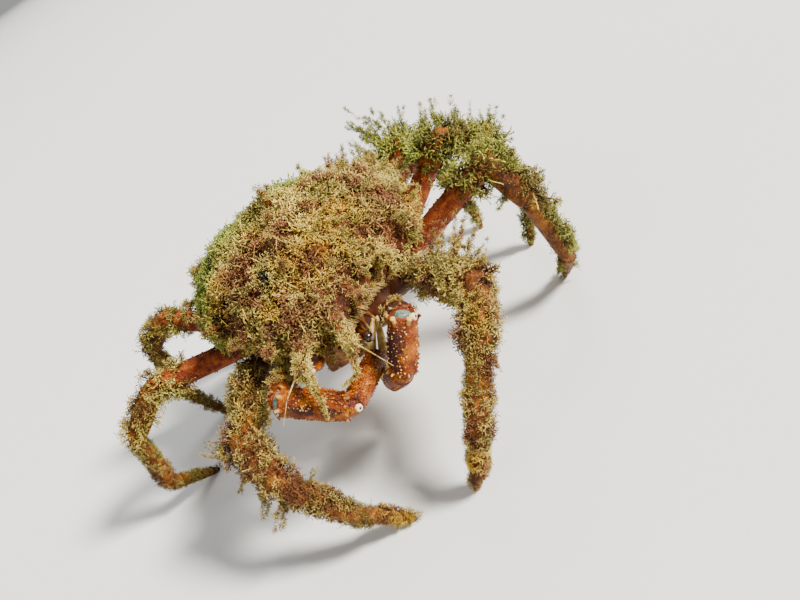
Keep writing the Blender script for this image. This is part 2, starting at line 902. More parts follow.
@dataclass
class Plant:
    """One branched sprig of alga, one unit tall."""

    branches: int = 6
    stem: float = 0.054
    lean: float = 0.30
    curl: float = 0.16
    bent: float = 0.13
    reach: tuple[float, float] = (0.40, 0.66)
    first: float = 0.26
    rings: int = 3
    widest: float = 0.62
    seed: int = 1

    def blade(self, root: Vector, tip: Vector, sag: Vector, radius: float, rings: int) -> Form:
        """Three-sided blade with a point at both ends.

        Args:
            root: Where it starts.
            tip: Where it ends.
            sag: How far its middle is pushed aside.
            radius: Half width at its widest.
            rings: Rings between the points. A single one is the widest place of a leaflet.

        Returns:
            The blade.
        """
        bm = bmesh.new()
        bmesh.ops.create_cone(bm, cap_ends=True, segments=3, radius1=radius,
                              radius2=radius * 0.66 if rings > 1 else 0.0, depth=1.0)
        if rings > 2:
            long = [edge for edge in bm.edges if abs(edge.verts[0].co.z - edge.verts[1].co.z) > 0.5]
            bmesh.ops.subdivide_edges(bm, edges=long, cuts=rings - 2)
        low, high = (0.08, 0.90) if rings > 1 else (self.widest, 1.0)
        for vert in bm.verts:
            vert.co.z = low + (high - low) * (vert.co.z + 0.5)
        ends = [face for face in bm.faces if abs(face.normal.z) > 0.95]
        for vert in bmesh.ops.poke(bm, faces=ends)["verts"]:
            vert.co.z = 1.0 if rings > 1 and vert.co.z > 0.5 else 0.0
        turn = (tip - root).to_track_quat("Z", "Y").to_matrix()
        span = (tip - root).length
        for vert in bm.verts:
            at = vert.co.z
            flat = turn @ Vector((vert.co.x, vert.co.y, 0.0))
            vert.co = root + turn @ Vector((0.0, 0.0, at * span)) + flat + sag * math.sin(math.pi * at)
        return bm

    def stamp(self) -> Stamp:
        """Grow the sprig.

        Returns:
            Its stamp.
        """
        rng = np.random.default_rng(self.seed)
        top = Vector((self.lean, 0.0, 0.86))
        sag = Vector((-self.curl, rng.uniform(-0.8, 0.8) * self.curl, 0.0))
        blades = [self.blade(Vector((0.0, 0.0, 0.0)), top, sag, self.stem, self.rings)]
        for index in range(self.branches):
            at = self.first + (0.94 - self.first) * (index + rng.uniform(0.0, 0.8)) / self.branches
            root = top * at + sag * math.sin(math.pi * at)
            angle = index * 2.4 + rng.uniform(-0.5, 0.5)
            length = rng.uniform(*self.reach) * (1.15 - 0.5 * at)
            out = Vector((math.cos(angle), math.sin(angle), rng.uniform(0.25, 0.95))).normalized()
            tip = root + out * length
            tip.z = min(tip.z, 1.0)
            bent = Vector(rng.uniform(-self.bent, self.bent, 3))
            blades.append(self.blade(root, tip, bent, self.stem * 0.86, 1))
        return Stamp.of(gather(blades))


def grow_stamps() -> list[Stamp]:
    """Grow every kind of sprig and strand once.

    Returns:
        Stamps of the short sprigs, then of the long strands.
    """
    sprigs = [Plant(seed=index + 1, lean=0.22 + 0.06 * (index % 3)) for index in range(SPRIG_KINDS)]
    strands = [Plant(6, 0.034, 0.30, 0.36, 0.08, (0.08, 0.16), 0.30, 5, seed=index + 31)
               for index in range(STRAND_KINDS)]
    return [plant.stamp() for plant in sprigs + strands]


def knobs_on(roots: np.ndarray, outward: np.ndarray, sizes: np.ndarray, rng: Rng) -> Form:
    """Low round tubercles on a skin.

    Args:
        roots: Their middles in metres.
        outward: The way that each faces.
        sizes: Their radii in millimetres.
        rng: Chooses each one's turn.

    Returns:
        All of them in one form.
    """
    knob = bmesh.new()
    bmesh.ops.create_uvsphere(knob, u_segments=8, v_segments=5, radius=1.0)
    bmesh.ops.scale(knob, vec=(1.0, 1.0, 1.3), verts=knob.verts)
    bmesh.ops.translate(knob, vec=(0.0, 0.0, -0.30), verts=knob.verts)
    nothing = np.zeros(len(roots))
    batch = Batch(roots, outward, np.repeat(sizes[:, None] * MM, 3, axis=1), nothing, nothing,
                  np.zeros((len(roots), 2)), nothing)
    mesh = Strewn([Stamp.of(knob)], rng, [batch]).mesh("knobs")
    bm = bmesh.new()
    bm.from_mesh(mesh)
    bm.loops.layers.uv.remove(bm.loops.layers.uv[BAKE_MAP])
    bpy.data.meshes.remove(mesh)
    return bm


def thin(points: np.ndarray, spacing: float) -> np.ndarray:
    """Choose points that keep a distance from each other.

    Args:
        points: Candidates in metres, in random order.
        spacing: Least distance in millimetres.

    Returns:
        Indices of the chosen points.
    """
    least = spacing * MM
    cells: dict[tuple[int, ...], list[int]] = {}
    chosen = []
    around = [(i, j, k) for i in (-1, 0, 1) for j in (-1, 0, 1) for k in (-1, 0, 1)]
    for index, key in enumerate(np.floor(points / least).astype(int)):
        near = [other for step in around
                for other in cells.get((key[0] + step[0], key[1] + step[1], key[2] + step[2]), ())]
        if near and np.min(np.linalg.norm(points[near] - points[index], axis=1)) < least:
            continue
        cells.setdefault(tuple(key), []).append(index)
        chosen.append(index)
    return np.array(chosen)


class Bed(NamedTuple):
    """Places where turf grows. Each array has a row for each of them.

    Attributes:
        roots: The places in metres.
        normals: Outward directions.
        lies: The way the coat lies.
        greens: How green each is.
        maps: The places on the skin's unwrap.
    """

    roots: np.ndarray
    normals: np.ndarray
    lies: np.ndarray
    greens: np.ndarray
    maps: np.ndarray


@dataclass(frozen=True)
class Tint:
    """Colour of a hanging piece: its green, its place on the unwrap, and its darkest tone."""

    green: float
    chart: tuple[float, float]
    shade: float = 0.4


@dataclass
class Coat(Strewn):
    """Turf on one part of the crab."""

    spread: float = 2.5
    shade_patch: float = 0.013
    frond_lines: int = 5

    def tufts(self, bed: Bed, heights: np.ndarray, sprigs: int, shade: float | np.ndarray = 0.5) -> None:
        """Grow a tuft of sprigs on each root.

        Args:
            bed: Where the tufts grow.
            heights: Their heights in millimetres.
            sprigs: Sprigs to a tuft.
            shade: The tufts' middle tone.
        """
        rng, count = self.rng, len(bed.roots)
        tones = np.clip(shade + 0.85 * rumple(bed.roots, self.shade_patch, 7.0)
                        + rng.normal(0.0, 0.22, count), 0.0, 1.0)
        for _ in range(sprigs):
            aside = rng.normal(0.0, 1.0, (count, 3))
            aside -= bed.normals * np.sum(aside * bed.normals, axis=1, keepdims=True)
            aside = unit(aside) * np.sqrt(rng.uniform(0.0, 1.0, count))[:, None]
            axes = unit(bed.normals + bed.lies * 0.30 + aside * 0.62 + rng.normal(0.0, 0.16, (count, 3)))
            reach = self.spread * (heights / 7.0)[:, None] * MM
            where = bed.roots + aside * reach - bed.normals * 0.5 * MM
            tall = heights * rng.uniform(0.70, 1.10, count) * MM
            wide = (0.62 * heights + 2.0) * rng.uniform(0.85, 1.15, count) * MM
            self.batches.append(Batch(where, axes, np.stack((wide, wide, tall), axis=1),
                                      np.clip(tones + rng.normal(0.0, 0.18, count), 0.0, 1.0),
                                      bed.greens, bed.maps, rng.integers(0, SPRIG_KINDS, count)))

    def streamers(self, bed: Bed, length: tuple[float, float], count: int) -> None:
        """Grow long thin strands on some of the roots.

        Args:
            bed: The roots to choose from.
            length: Least and greatest length in millimetres.
            count: How many strands.
        """
        rng = self.rng
        pick = rng.choice(len(bed.roots), min(count, len(bed.roots)), replace=False)
        roots, normals, lies, greens, maps = (rows[pick] for rows in bed)
        axes = unit(normals + lies * 0.5 + rng.normal(0.0, 0.35, (len(pick), 3)))
        tall = rng.uniform(*length, len(pick)) * MM
        self.batches.append(Batch(roots, axes, np.stack((tall, tall, tall), axis=1),
                                  rng.uniform(0.5, 1.0, len(pick)), greens * 0.6, maps,
                                  SPRIG_KINDS + rng.integers(0, STRAND_KINDS, len(pick))))

    def chain(self, path: Sequence[Vector], size: float, count: int, tint: Tint) -> None:
        """Hang sprigs along a drooping line.

        Args:
            path: The line's knots in metres.
            size: Sprigs' height in millimetres.
            count: How many sprigs.
            tint: Their colour.
        """
        rng, knots = self.rng, np.array([tuple(point) for point in path])
        at = np.sort(rng.uniform(0.0, 1.0, count))
        where = np.stack(along_path(knots, np.linspace(0.0, 1.0, len(knots)), at), axis=1)
        axes = unit(rng.normal(0.0, 1.0, (count, 3)) + unit(knots[-1] - knots[0]) * 0.9)
        tall = size * rng.uniform(0.7, 1.1, count) * (1.15 - 0.5 * at) * MM
        self.batches.append(Batch(where - axes * tall[:, None] * 0.35, axes,
                                  np.stack((tall, tall, tall), axis=1), rng.uniform(tint.shade, 1.0, count),
                                  np.full(count, tint.green), np.tile(tint.chart, (count, 1)),
                                  rng.integers(0, SPRIG_KINDS, count)))

    def frond(self, row: Frond, tint: Tint) -> None:
        """Grow a ragged bush from several leaning lines of sprigs.

        Args:
            row: Its root and its tip on the plan, and its sprigs' height in millimetres.
            tint: Its colour.
        """
        rng, (root, tip, size) = self.rng, (spot(row[0]), spot(row[1]), row[2])
        reach = (tip - root).length
        for line in range(self.frond_lines):
            start = root + Vector(rng.normal(0.0, 0.32 * size, 3)) * MM
            end = start.lerp(tip, 1.0 if line == 0 else rng.uniform(0.45, 0.9))
            end += Vector(np.clip(rng.normal(0.0, 0.0 if line == 0 else 0.15, 3), -0.2, 0.2)) * reach
            middle = start.lerp(end, 0.5) + Vector(rng.normal(0.0, 0.06, 3)) * reach
            self.chain([start, middle, end], size, 8 + int((end - start).length / MM * 0.95), tint)


@dataclass(frozen=True)
class Kit:
    """Every finish of the crab and the stamps of its turf, made once."""

    turf: Material
    shell: Material
    crust: Material
    merus: Material
    shin: Material
    palm: Material
    membrane: Material
    horn: Material
    underside: Material
    boss: Material
    cornea: Material
    stamps: list[Stamp]

    @classmethod
    def make(cls) -> "Kit":
        """Make all the materials and the stamps.
        """
        crust = ShellFinish("overgrown shell", deep=(0.020, 0.006, 0.002), body=(0.09, 0.020, 0.004),
                            bright=(0.34, 0.075, 0.010), roughness=0.6)
        merus = ShellFinish("bare leg shell", deep=(0.045, 0.007, 0.002), body=(0.22, 0.030, 0.003),
                            bright=(0.56, 0.135, 0.006), coarse=210.0, net=0.8, roughness=0.42)
        shin = ShellFinish("shin shell", deep=(0.022, 0.007, 0.001), body=(0.13, 0.034, 0.003),
                           bright=(0.44, 0.15, 0.008), roughness=0.5)
        palm = ShellFinish("netted palm", deep=(0.030, 0.003, 0.001), grain=760.0, net=1.0, roughness=0.3)
        boss = HornFinish("pale knuckle", dark=(0.50, 0.22, 0.06), body=(0.80, 0.58, 0.30),
                          light=(0.92, 0.82, 0.60), roughness=0.22)
        finishes = (TurfFinish(), ShellFinish(roughness=0.3), crust, merus, shin, palm, MembraneFinish(),
                    HornFinish(), UndersideFinish(), boss, CorneaFinish())
        return cls(*(finish.make() for finish in finishes), grow_stamps())

    def coat(self, rng: Rng) -> Coat:
        """New turf that grows by that chance."""
        return Coat(self.stamps, rng)

    def show(self, coat: Coat, name: str, slot: Slot, keep: np.ndarray | None = None) -> None:
        """Make a piece of turf, of that name and slot, from a coat or from the part to keep."""
        dress_piece(coat.mesh(name, keep), (self.turf,))


@dataclass(frozen=True)
class ShellPlan:
    """Outline, dome and swellings of the carapace, in millimetres."""

    front: float = -70.0
    rear: float = 70.0
    half_width: float = 66.0
    height: float = 42.0
    rim: float = 6.0
    widths: Pairs = ((0.0, 0.0), (0.03, 0.20), (0.12, 0.36), (0.25, 0.60), (0.40, 0.86), (0.58, 1.0),
                     (0.75, 0.94), (0.88, 0.72), (0.96, 0.43), (1.0, 0.0))
    heights: Pairs = ((0.0, 0.0), (0.03, 0.26), (0.12, 0.46), (0.25, 0.76), (0.40, 0.93), (0.58, 1.0),
                      (0.75, 0.88), (0.88, 0.62), (0.96, 0.36), (1.0, 0.0))
    swellings: Spots = (
        (0.0, 0.27, 0.16, 0.10, 4.0), (0.0, 0.58, 0.14, 0.09, 4.5), (0.0, 0.84, 0.16, 0.07, 3.0),
        (0.52, 0.60, 0.26, 0.16, 3.0), (0.50, 0.32, 0.16, 0.08, 2.0))

    def rise(self, across: np.ndarray, along: np.ndarray) -> np.ndarray:
        """Height of the swellings over the stomach, heart, gut and gills.

        Args:
            across: Share of the half width, from -1 to 1.
            along: Share of the length.

        Returns:
            Millimetres above the plain dome.
        """
        total = np.zeros(np.broadcast(across, along).shape)
        for middle, centre, wide, long, rise in self.swellings:
            aside, ahead = (np.abs(across) - middle) / wide, (along - centre) / long
            total = total + rise * np.exp(-aside * aside - ahead * ahead)
        return total

    def points(self, angle: np.ndarray, along: np.ndarray, swell: float | np.ndarray = 0.0) -> np.ndarray:
        """Points of the shell.

        Args:
            angle: Turn about the long axis: 0 at the left edge, a half turn at the right.
            along: Share of the length from face to tail.
            swell: Millimetres that the surface stands out from the skin.

        Returns:
            Points in metres, one row each.
        """
        side, up = np.cos(angle), np.sin(angle)
        wide = blend(self.widths, along) * self.half_width
        high = blend(self.heights, along) * self.height
        taper = np.minimum(1.0, 4.0 * np.sqrt(np.maximum(0.0, along * (1.0 - along))))
        x = np.sign(side) * np.abs(side) ** 0.9 * (wide + swell * taper)
        raised = np.maximum(up, 0.0)
        above = raised ** 0.92 * (high + swell) + self.rise(side, along) * raised
        z = np.where(up >= 0.0, above, np.maximum(up * 2.0, -1.0) * self.rim)
        return place(x, self.front - swell + (self.rear - self.front + 2.0 * swell) * along, z)

    def normals(self, angle: np.ndarray, along: np.ndarray) -> np.ndarray:
        """Outward directions of the skin.

        Args:
            angle: Turn about the long axis.
            along: Share of the length.

        Returns:
            Directions, one row each.
        """
        step = 0.004
        turn = self.points(angle + step, along) - self.points(angle - step, along)
        run = (self.points(angle, np.minimum(along + step, 1.0))
               - self.points(angle, np.maximum(along - step, 0.0)))
        normal = unit(np.cross(run, turn))
        outward = self.points(angle, along) - place(0.0, 0.0, 0.0)
        return normal * np.sign(np.sum(normal * outward, axis=-1, keepdims=True))


@dataclass
class Carapace:
    """Domed shell with its edge and crest spines and its two horns."""

    kit: Kit
    rng: Rng
    plan: ShellPlan = field(default_factory=ShellPlan)
    segments: int = 112
    rings: int = 72
    edge_spines: Pairs = ((0.10, 10.0), (0.22, 13.0), (0.36, 14.0), (0.50, 14.0), (0.64, 13.0),
                          (0.80, 12.0))
    crest_spines: Pairs = ((0.20, 9.0), (0.32, 10.0), (0.44, 9.0), (0.57, 11.0), (0.72, 9.0),
                           (0.90, 11.0))
    edge_angle: float = 0.30
    spine_radius: float = 3.0
    horn_base: Place = (7.0, -62.0, 8.0)
    horn_tip: Place = (14.0, -93.0, 3.0)
    horn_radius: float = 4.4
    granules: int = 320
    granule_size: tuple[float, float] = (0.7, 1.4)
    bristles: int = 84
    bristle_reach: tuple[float, float] = (0.018, 0.20)


    def thorns(self) -> list[Thorn]:
        """Roots, tips and radii of all the spines.

        Returns:
            One row for each spine.
        """
        rows = [(angle, along, 0.02, length) for along, length in self.edge_spines
                for angle in (self.edge_angle, math.pi - self.edge_angle)]
        rows += [(math.pi / 2, along, 0.01, length) for along, length in self.crest_spines]
        return [(Vector(self.plan.points(angle, along, -3.0)),
                 Vector(self.plan.points(angle, along - lean, length)), self.spine_radius)
                for angle, along, lean, length in rows]

    def horns(self) -> list[Thorn]:
        """Roots, tips and radii of the two horns."""
        return [(spot(self.horn_base, side.value), spot(self.horn_tip, side.value), self.horn_radius)
                for side in Side]

    def skin(self) -> Form:
        """The domed shell itself.

        Returns:
            The closed form.
        """
        bm = bmesh.new()
        bmesh.ops.create_uvsphere(bm, u_segments=self.segments, v_segments=self.rings, radius=1.0)
        bmesh.ops.rotate(bm, verts=bm.verts, matrix=Matrix.Rotation(math.radians(90), 3, "X"))
        start = np.array([vert.co[:] for vert in bm.verts])
        angle = np.arctan2(start[:, 2], start[:, 0])
        along = np.clip(0.5 + 0.5 * start[:, 1], 0.0, 1.0)
        placed = self.plan.points(angle, along)
        pits = rumple(placed, 0.006) * 0.35 * np.clip(np.sin(angle), 0.0, 1.0)
        placed = placed + self.plan.normals(angle, np.clip(along, 0.01, 0.99)) * pits[:, None] * MM
        for vert, point in zip(bm.verts, placed):
            vert.co = point
        bmesh.ops.recalc_face_normals(bm, faces=bm.faces)
        return bm

    def build(self) -> None:
        """Make the shell's piece and the bristles along its edge."""
        rng, plan = self.rng, self.plan
        shell = Assembly("carapace_shell", Slot.TURF_SHELL)
        shell.add(self.skin())
        for root, tip, radius in self.thorns():
            shell.add(thorn(root, tip, radius, 12, Vector((0.0, -0.6, 0.4)) * MM))
        for root, tip, radius in self.horns():
            shell.add(thorn(root, tip, radius, 16, Vector((0.0, 0.0, 1.2)) * MM, 0.2))
        angle = rng.uniform(0.12, math.pi - 0.12, self.granules)
        along = rng.uniform(0.05, 0.95, self.granules)
        shell.add(knobs_on(plan.points(angle, along), plan.normals(angle, along),
                           rng.uniform(*self.granule_size, self.granules), rng))
        shell.build((self.kit.crust,), ("carapace",),
                    lambda points: {"mark": 0.25 + 0.2 * rumple(points, 0.02)})
        edge = Assembly("carapace_edge_bristles", Slot.TURF_SHELL)
        for along in np.linspace(*self.bristle_reach, self.bristles):
            turn = rng.uniform(-0.12, 0.10)
            root = Vector(plan.points(turn, along, -0.6))
            outward = Vector(plan.points(turn, along, 1.0)) - root
            aim = outward.normalized() + Vector((0.35, -0.25, -0.55)) + Vector(rng.normal(0, 0.12, 3))
            edge.add(thorn(root, root + aim.normalized() * rng.uniform(3.6, 5.0) * MM, 0.30, 5))
        edge.build((self.kit.horn,), (), lambda points: {"pale": np.full(len(points), 0.6)})


@dataclass
class ShellTurf:
    """The turf that hides the carapace, its spines and its horns."""

    shell: Carapace
    rng: Rng
    candidates: int = 26000
    spacing: float = 3.7
    heights: tuple[float, float] = (4.4, 8.2)
    clumps: int = 130
    clump_reach: float = 5.5
    clump_gain: float = 0.62
    sprigs: int = 7
    streamers: int = 420
    streamer: tuple[float, float] = (7.0, 12.0)
    under_edge: float = 0.55
    chains: tuple[tuple[Place, ...], ...] = (
        ((14.0, -92.0, 4.0), (11.4, -95.6, -1.7), (9.4, -98.5, -7.2), (1.4, -100.4, -7.9)),
        ((-12.5, -96.0, 5.0), (-10.5, -101.0, 1.3), (-9.6, -104.3, -6.3), (-11.4, -108.0, -13.7)),
        ((10.5, -84.0, 4.0), (9.6, -85.5, -3.0), (8.8, -86.5, -9.0)),
        ((-10.5, -84.0, 4.0), (-11.6, -86.0, -4.0), (-12.5, -86.5, -10.0)))
    fronds: tuple[Frond, ...] = (
        ((47, 34, 26), (54, 42, 38), 5.4), ((53, 34, 21), (60, 40, 31), 5.2),
        ((59, 34, 12), (70, 38, 20), 4.8), ((20, 36, 38), (21, 42, 47), 4.2),
        ((41, 38, 30), (47, 44, 41), 5.4), ((34, 41, 32), (38, 47, 41), 5.0),
        ((57, 26, 18), (67, 32, 29), 5.2), ((50, 36, 24), (57, 44, 33), 5.4))
    bare: Spots = ((46, -28, -1, 5), (52, -22, 2, 4), (-14, -33, 34, 4),
                                           (16, -60, 9, 4.5), (40, -40, 4, 3.5))
    shades: Spots = (
        (31, -28, 31, 13, 0.34), (27, -42, 24, 7, 0.15), (-28, -31, 31, 11, -0.42), (49, 29, 31, 10, -0.38),
        (57, -10, 20, 11, -0.34), (36, -43, 6, 7, -0.40), (-15, -37, 33, 4, -0.6), (7, -48, 27, 6, -0.32),
        (-2, -10, 44, 8, -0.26), (20, 20, 44, 7, -0.2))
    low: Spots = ((34, -43, 1, 7), (31, -47, 1, 9), (26, -53, 1, 9.5),
                                          (22, -58, 1, 9.5), (17, -63, 0, 8), (12, -67, 0, 6))

    def chart(self, angle: np.ndarray, along: np.ndarray) -> np.ndarray:
        """Places on the shell's unwrap, by turn about the long axis and share of the length."""
        across = (angle + self.under_edge) / (math.pi + 2.0 * self.under_edge)
        return np.stack((0.02 + 0.96 * across, 0.02 + 0.96 * along), axis=1)

    def chart_at(self, root: Vector) -> tuple[float, float]:
        """Place on the unwrap of a spine's root.

        Args:
            root: The root in metres.

        Returns:
            Map coordinates.
        """
        plan = self.shell.plan
        x, y, z = (np.array(root) - SHIFT) / MM
        along = np.clip((y - plan.front) / (plan.rear - plan.front), 0.02, 0.98)
        return tuple(self.chart(np.array((math.atan2(max(z, 0.0), x),)), np.array((along,)))[0])

    def grow(self) -> Coat:
        """Grow all the turf.

        Returns:
            The coat.
        """
        rng, plan = self.rng, self.shell.plan
        angle = rng.uniform(-self.under_edge, math.pi + self.under_edge, self.candidates)
        along = rng.uniform(0.004, 0.996, self.candidates)
        roots = plan.points(angle, along)
        chosen = thin(roots, self.spacing)
        chosen = chosen[outside(roots[chosen], self.bare)]
        angle, along, roots = angle[chosen], along[chosen], roots[chosen]
        plain = roots - SHIFT
        fall = unit(np.stack((plain[:, 0], plain[:, 1] * 0.6 - 0.02, np.full(len(roots), -0.04)), axis=1))
        lies = unit(fall + rng.uniform(-0.8, 0.8, fall.shape))
        centres = roots[rng.choice(len(roots), self.clumps, replace=False)]
        apart = np.linalg.norm(roots[:, None] - centres[None], axis=2).min(axis=1)
        clumped = np.exp(-(apart / (self.clump_reach * MM)) ** 2)
        share = np.clip(0.5 + 0.9 * rumple(roots, 0.011, 4.0), 0.0, 1.0)
        heights = self.heights[0] + (self.heights[1] - self.heights[0]) * share
        heights = heights * (0.86 + self.clump_gain * clumped)
        heights = np.where(np.sin(angle) < -0.1, heights * 0.5, heights)
        tall = outside(roots, self.low)
        heights = np.where(tall, heights, heights * 0.26)
        greens = smooth_between(0.004, 0.028, plain[:, 1] - 0.62 * plain[:, 0]
                                + 0.012 * rumple(roots, 0.012, 9.0))
        shade = np.full(len(roots), 0.52)
        for x, y, z, radius, gain in self.shades:
            away = np.linalg.norm(roots - place(x, y, z), axis=1) / (radius * MM)
            shade += gain * np.exp(-away * away)
        bed = Bed(roots, plan.normals(angle, np.clip(along, 0.01, 0.99)), lies, greens,
                  self.chart(angle, along))
        coat = self.shell.kit.coat(rng)
        coat.tufts(bed, heights, self.sprigs, shade)
        coat.streamers(Bed(*(rows[tall] for rows in bed)), self.streamer, self.streamers)
        self.cover_thorns(coat)
        return coat

    def cover_thorns(self, coat: Coat) -> None:
        """Cover the spines and horns, and hang tufts from the horns.

        Args:
            coat: Takes the sprigs.
        """
        for rows, count, tall in ((self.shell.thorns(), 30, 3.3), (self.shell.horns(), 90, 4.2)):
            for root, tip, radius in rows:
                at = self.rng.uniform(0.15, 1.0, count)
                run = np.array((tip - root).normalized())
                out = self.rng.normal(0.0, 1.0, (count, 3))
                out = unit(out - run * np.sum(out * run, axis=1, keepdims=True))
                wide = radius * (1.0 - 0.75 * at)[:, None] * MM
                where = np.array(root) + np.array(tip - root) * at[:, None] + out * wide * 0.6
                bed = Bed(where, unit(out + run * 0.5), np.tile(run, (count, 1)), np.zeros(count),
                          np.tile(self.chart_at(root), (count, 1)))
                coat.tufts(bed, np.full(count, tall), 3)
        for path in self.chains:
            knots = [spot(point) for point in path]
            coat.chain(knots, 4.4, 110, Tint(0.0, self.chart_at(knots[0]), 0.95))
        for row in self.fronds:
            coat.frond(row, Tint(0.05, self.chart_at(spot(row[0]))))

    def build(self) -> None:
        """Make the turf's pieces, one for each quarter of the shell."""
        coat = self.grow()
        plain = np.concatenate([batch.roots for batch in coat.batches]) - SHIFT
        for side in Side:
            for name, rear in (("front", False), ("rear", True)):
                keep = (plain[:, 0] * side.value >= 0.0) & ((plain[:, 1] > 0.006) == rear)
                coat.rng = np.random.default_rng(7)
                self.shell.kit.show(coat, f"carapace_turf_{name}_{side.label}", Slot.TURF_SHELL, keep)


@dataclass(frozen=True)
class LegPlan:
    """One walking leg: its start, its merus's rise, its foot, and how thick and overgrown it is."""

    base: Place
    swing: float
    lift: float
    merus: float
    foot: tuple[float, float]
    shin: tuple[float, float, float]
    bulge: Place
    thick: float
    green: float
    growth: float = 1.0
    shade: float = 0.35
    sparse: float = 1.12


LEG_PLANS: dict[Leg, LegPlan] = {
    (Side.LEFT, 1): LegPlan((50, -26, -15), 66, 8, 64, (28, -118), (31, 41, 35), (0.0, -1.0, 0.46),
                            1.0, 0.0, 1.0, 0.40, 1.0),
    (Side.LEFT, 2): LegPlan((52, 0, -15), 8, 24, 63, (118, 6), (30, 43, 34), (0.3, -1.0, 0.2),
                            0.92, 0.62, 1.6),
    (Side.LEFT, 3): LegPlan((50, 20, -15), -12, 38, 60, (112, 54), (33, 46, 36), (1.0, 0.2, 0.2),
                            0.86, 0.72, 1.6),
    (Side.LEFT, 4): LegPlan((42, 38, -15), -50, 32, 56, (92, 108), (31, 43, 34), (0.6, 1.0, 0.2),
                            0.80, 0.80, 1.6),
    (Side.RIGHT, 1): LegPlan((50, -26, -15), 80, -4, 61, (4, -117), (29, 35, 34), (0.2, -1.0, 0.3),
                             1.0, 0.10, 1.0, 0.14),
    (Side.RIGHT, 2): LegPlan((52, 0, -15), 12, 12, 60, (118, 4), (30, 43, 33), (0.8, -0.6, 0.2),
                             0.92, 0.20),
    (Side.RIGHT, 3): LegPlan((50, 20, -15), -22, 24, 58, (112, 60), (31, 43, 34), (1.0, 0.4, 0.2),
                             0.86, 0.35),
    (Side.RIGHT, 4): LegPlan((42, 38, -15), -52, 26, 54, (84, 108), (29, 40, 32), (0.6, 1.0, 0.2),
                             0.80, 0.50),
}


def shin_points(knee: Vector, foot: Vector, lengths: Sequence[float], bulge: Vector) -> list[Vector]:
    """Joints of three links with equal bends that bulge one way.

    Args:
        knee: Where the first link starts.
        foot: Where the last link ends.
        lengths: The links' lengths in millimetres.
        bulge: The way that the chain bulges.

    Returns:
        Knee, wrist, ankle and foot.
    """
    chord = foot - knee
    links = [length * MM for length in lengths]

    def reach(bend: float) -> complex:
        """End of the chain for one bend, from its start along the first link."""
        return sum(length * complex(math.cos(bend * index), math.sin(bend * index))
                   for index, length in enumerate(links))

    low, high = 0.0, math.radians(100)
    for _ in range(40):
        middle = 0.5 * (low + high)
        low, high = (middle, high) if abs(reach(middle)) > chord.length else (low, middle)
    bend = 0.5 * (low + high)
    span = reach(bend)
    turn = math.atan2(span.imag, span.real)
    ahead = chord.normalized()
    aside = (bulge - ahead * bulge.dot(ahead)).normalized()
    points = [knee]
    for index, length in enumerate(links):
        angle = turn - bend * index
        points.append(points[-1] + (ahead * math.cos(angle) + aside * math.sin(angle)) * length)
    points[-1] = foot.copy()
    return points


FRONDS: dict[Leg, tuple[Frond, ...]] = {
    (Side.LEFT, 1): (((58, -37, -10), (72, -27, 5), 4.4), ((61, -45, -9), (77, -35, 7), 4.4),
                     ((65, -53, -8), (84, -41, 12), 4.6), ((68, -60, -6), (87, -49, 10), 4.6),
                     ((71, -68, -5), (93, -56, 12), 4.4), ((75, -75, -4), (90, -69, 4), 4.2),
                     ((82, -80, 0), (87, -77, 4), 2.8), ((66, -113, -25), (66, -116, -31), 2.6)),
    (Side.LEFT, 2): (((111, -6, 12), (119, 3, 24), 4.8), ((114, -12, 4), (127, -6, 12), 4.8),
                     ((119, -20, -8), (131, -15, -6), 4.8), ((121, -20, -26), (132, -18, -25), 4.4),
                     ((112, -16, -5), (102, -21, -10), 4.0)),
    (Side.LEFT, 3): (((88, 30, 21), (96, 42, 40), 5.0), ((98, 31, 22), (102, 39, 40), 5.0),
                     ((106, 35, 14), (111, 42, 33), 5.0), ((115, 40, 4), (120, 48, 22), 5.0),
                     ((118, 41, 0), (129, 48, 15), 5.0), ((120, 42, -4), (132, 50, 11), 5.0),
                     ((120, 43, -8), (132, 46, -4), 4.6)),
    (Side.LEFT, 4): (((67, 72, 14), (57, 86, 47), 5.2), ((68, 73, 14), (55, 82, 38), 5.2),
                     ((71, 75, 15), (64, 83, 38), 5.0), ((74, 76, 14), (74, 84, 34), 5.0),
                     ((77, 78, 12), (85, 85, 31), 5.0), ((62, 65, 9), (52, 74, 31), 4.8)),
    (Side.RIGHT, 1): (((-66, -84, -20), (-77, -79, -10), 3.4), ((-66, -86, -24), (-81, -82, -15), 2.8),
                      ((-61, -94, -28), (-72, -98, -33), 4.0), ((-56, -103, -34), (-65, -110, -44), 4.6),
                      ((-50, -109, -37), (-59, -117, -48), 4.8), ((-38, -116, -44), (-42, -119, -51), 3.6),
                      ((-32, -118, -49), (-37, -121, -54), 3.4), ((-9, -118, -73), (-13, -121, -77), 2.2),
                      ((-36, -112, -38), (-26, -109, -33), 2.0)),
}
BARE_SPOTS: dict[Leg, Spots] = {
    (Side.LEFT, 1): ((73, -89, -1, 4.5),),
    (Side.RIGHT, 1): ((-36, -113, -29, 4), (-42, -108, -26, 4)),
}


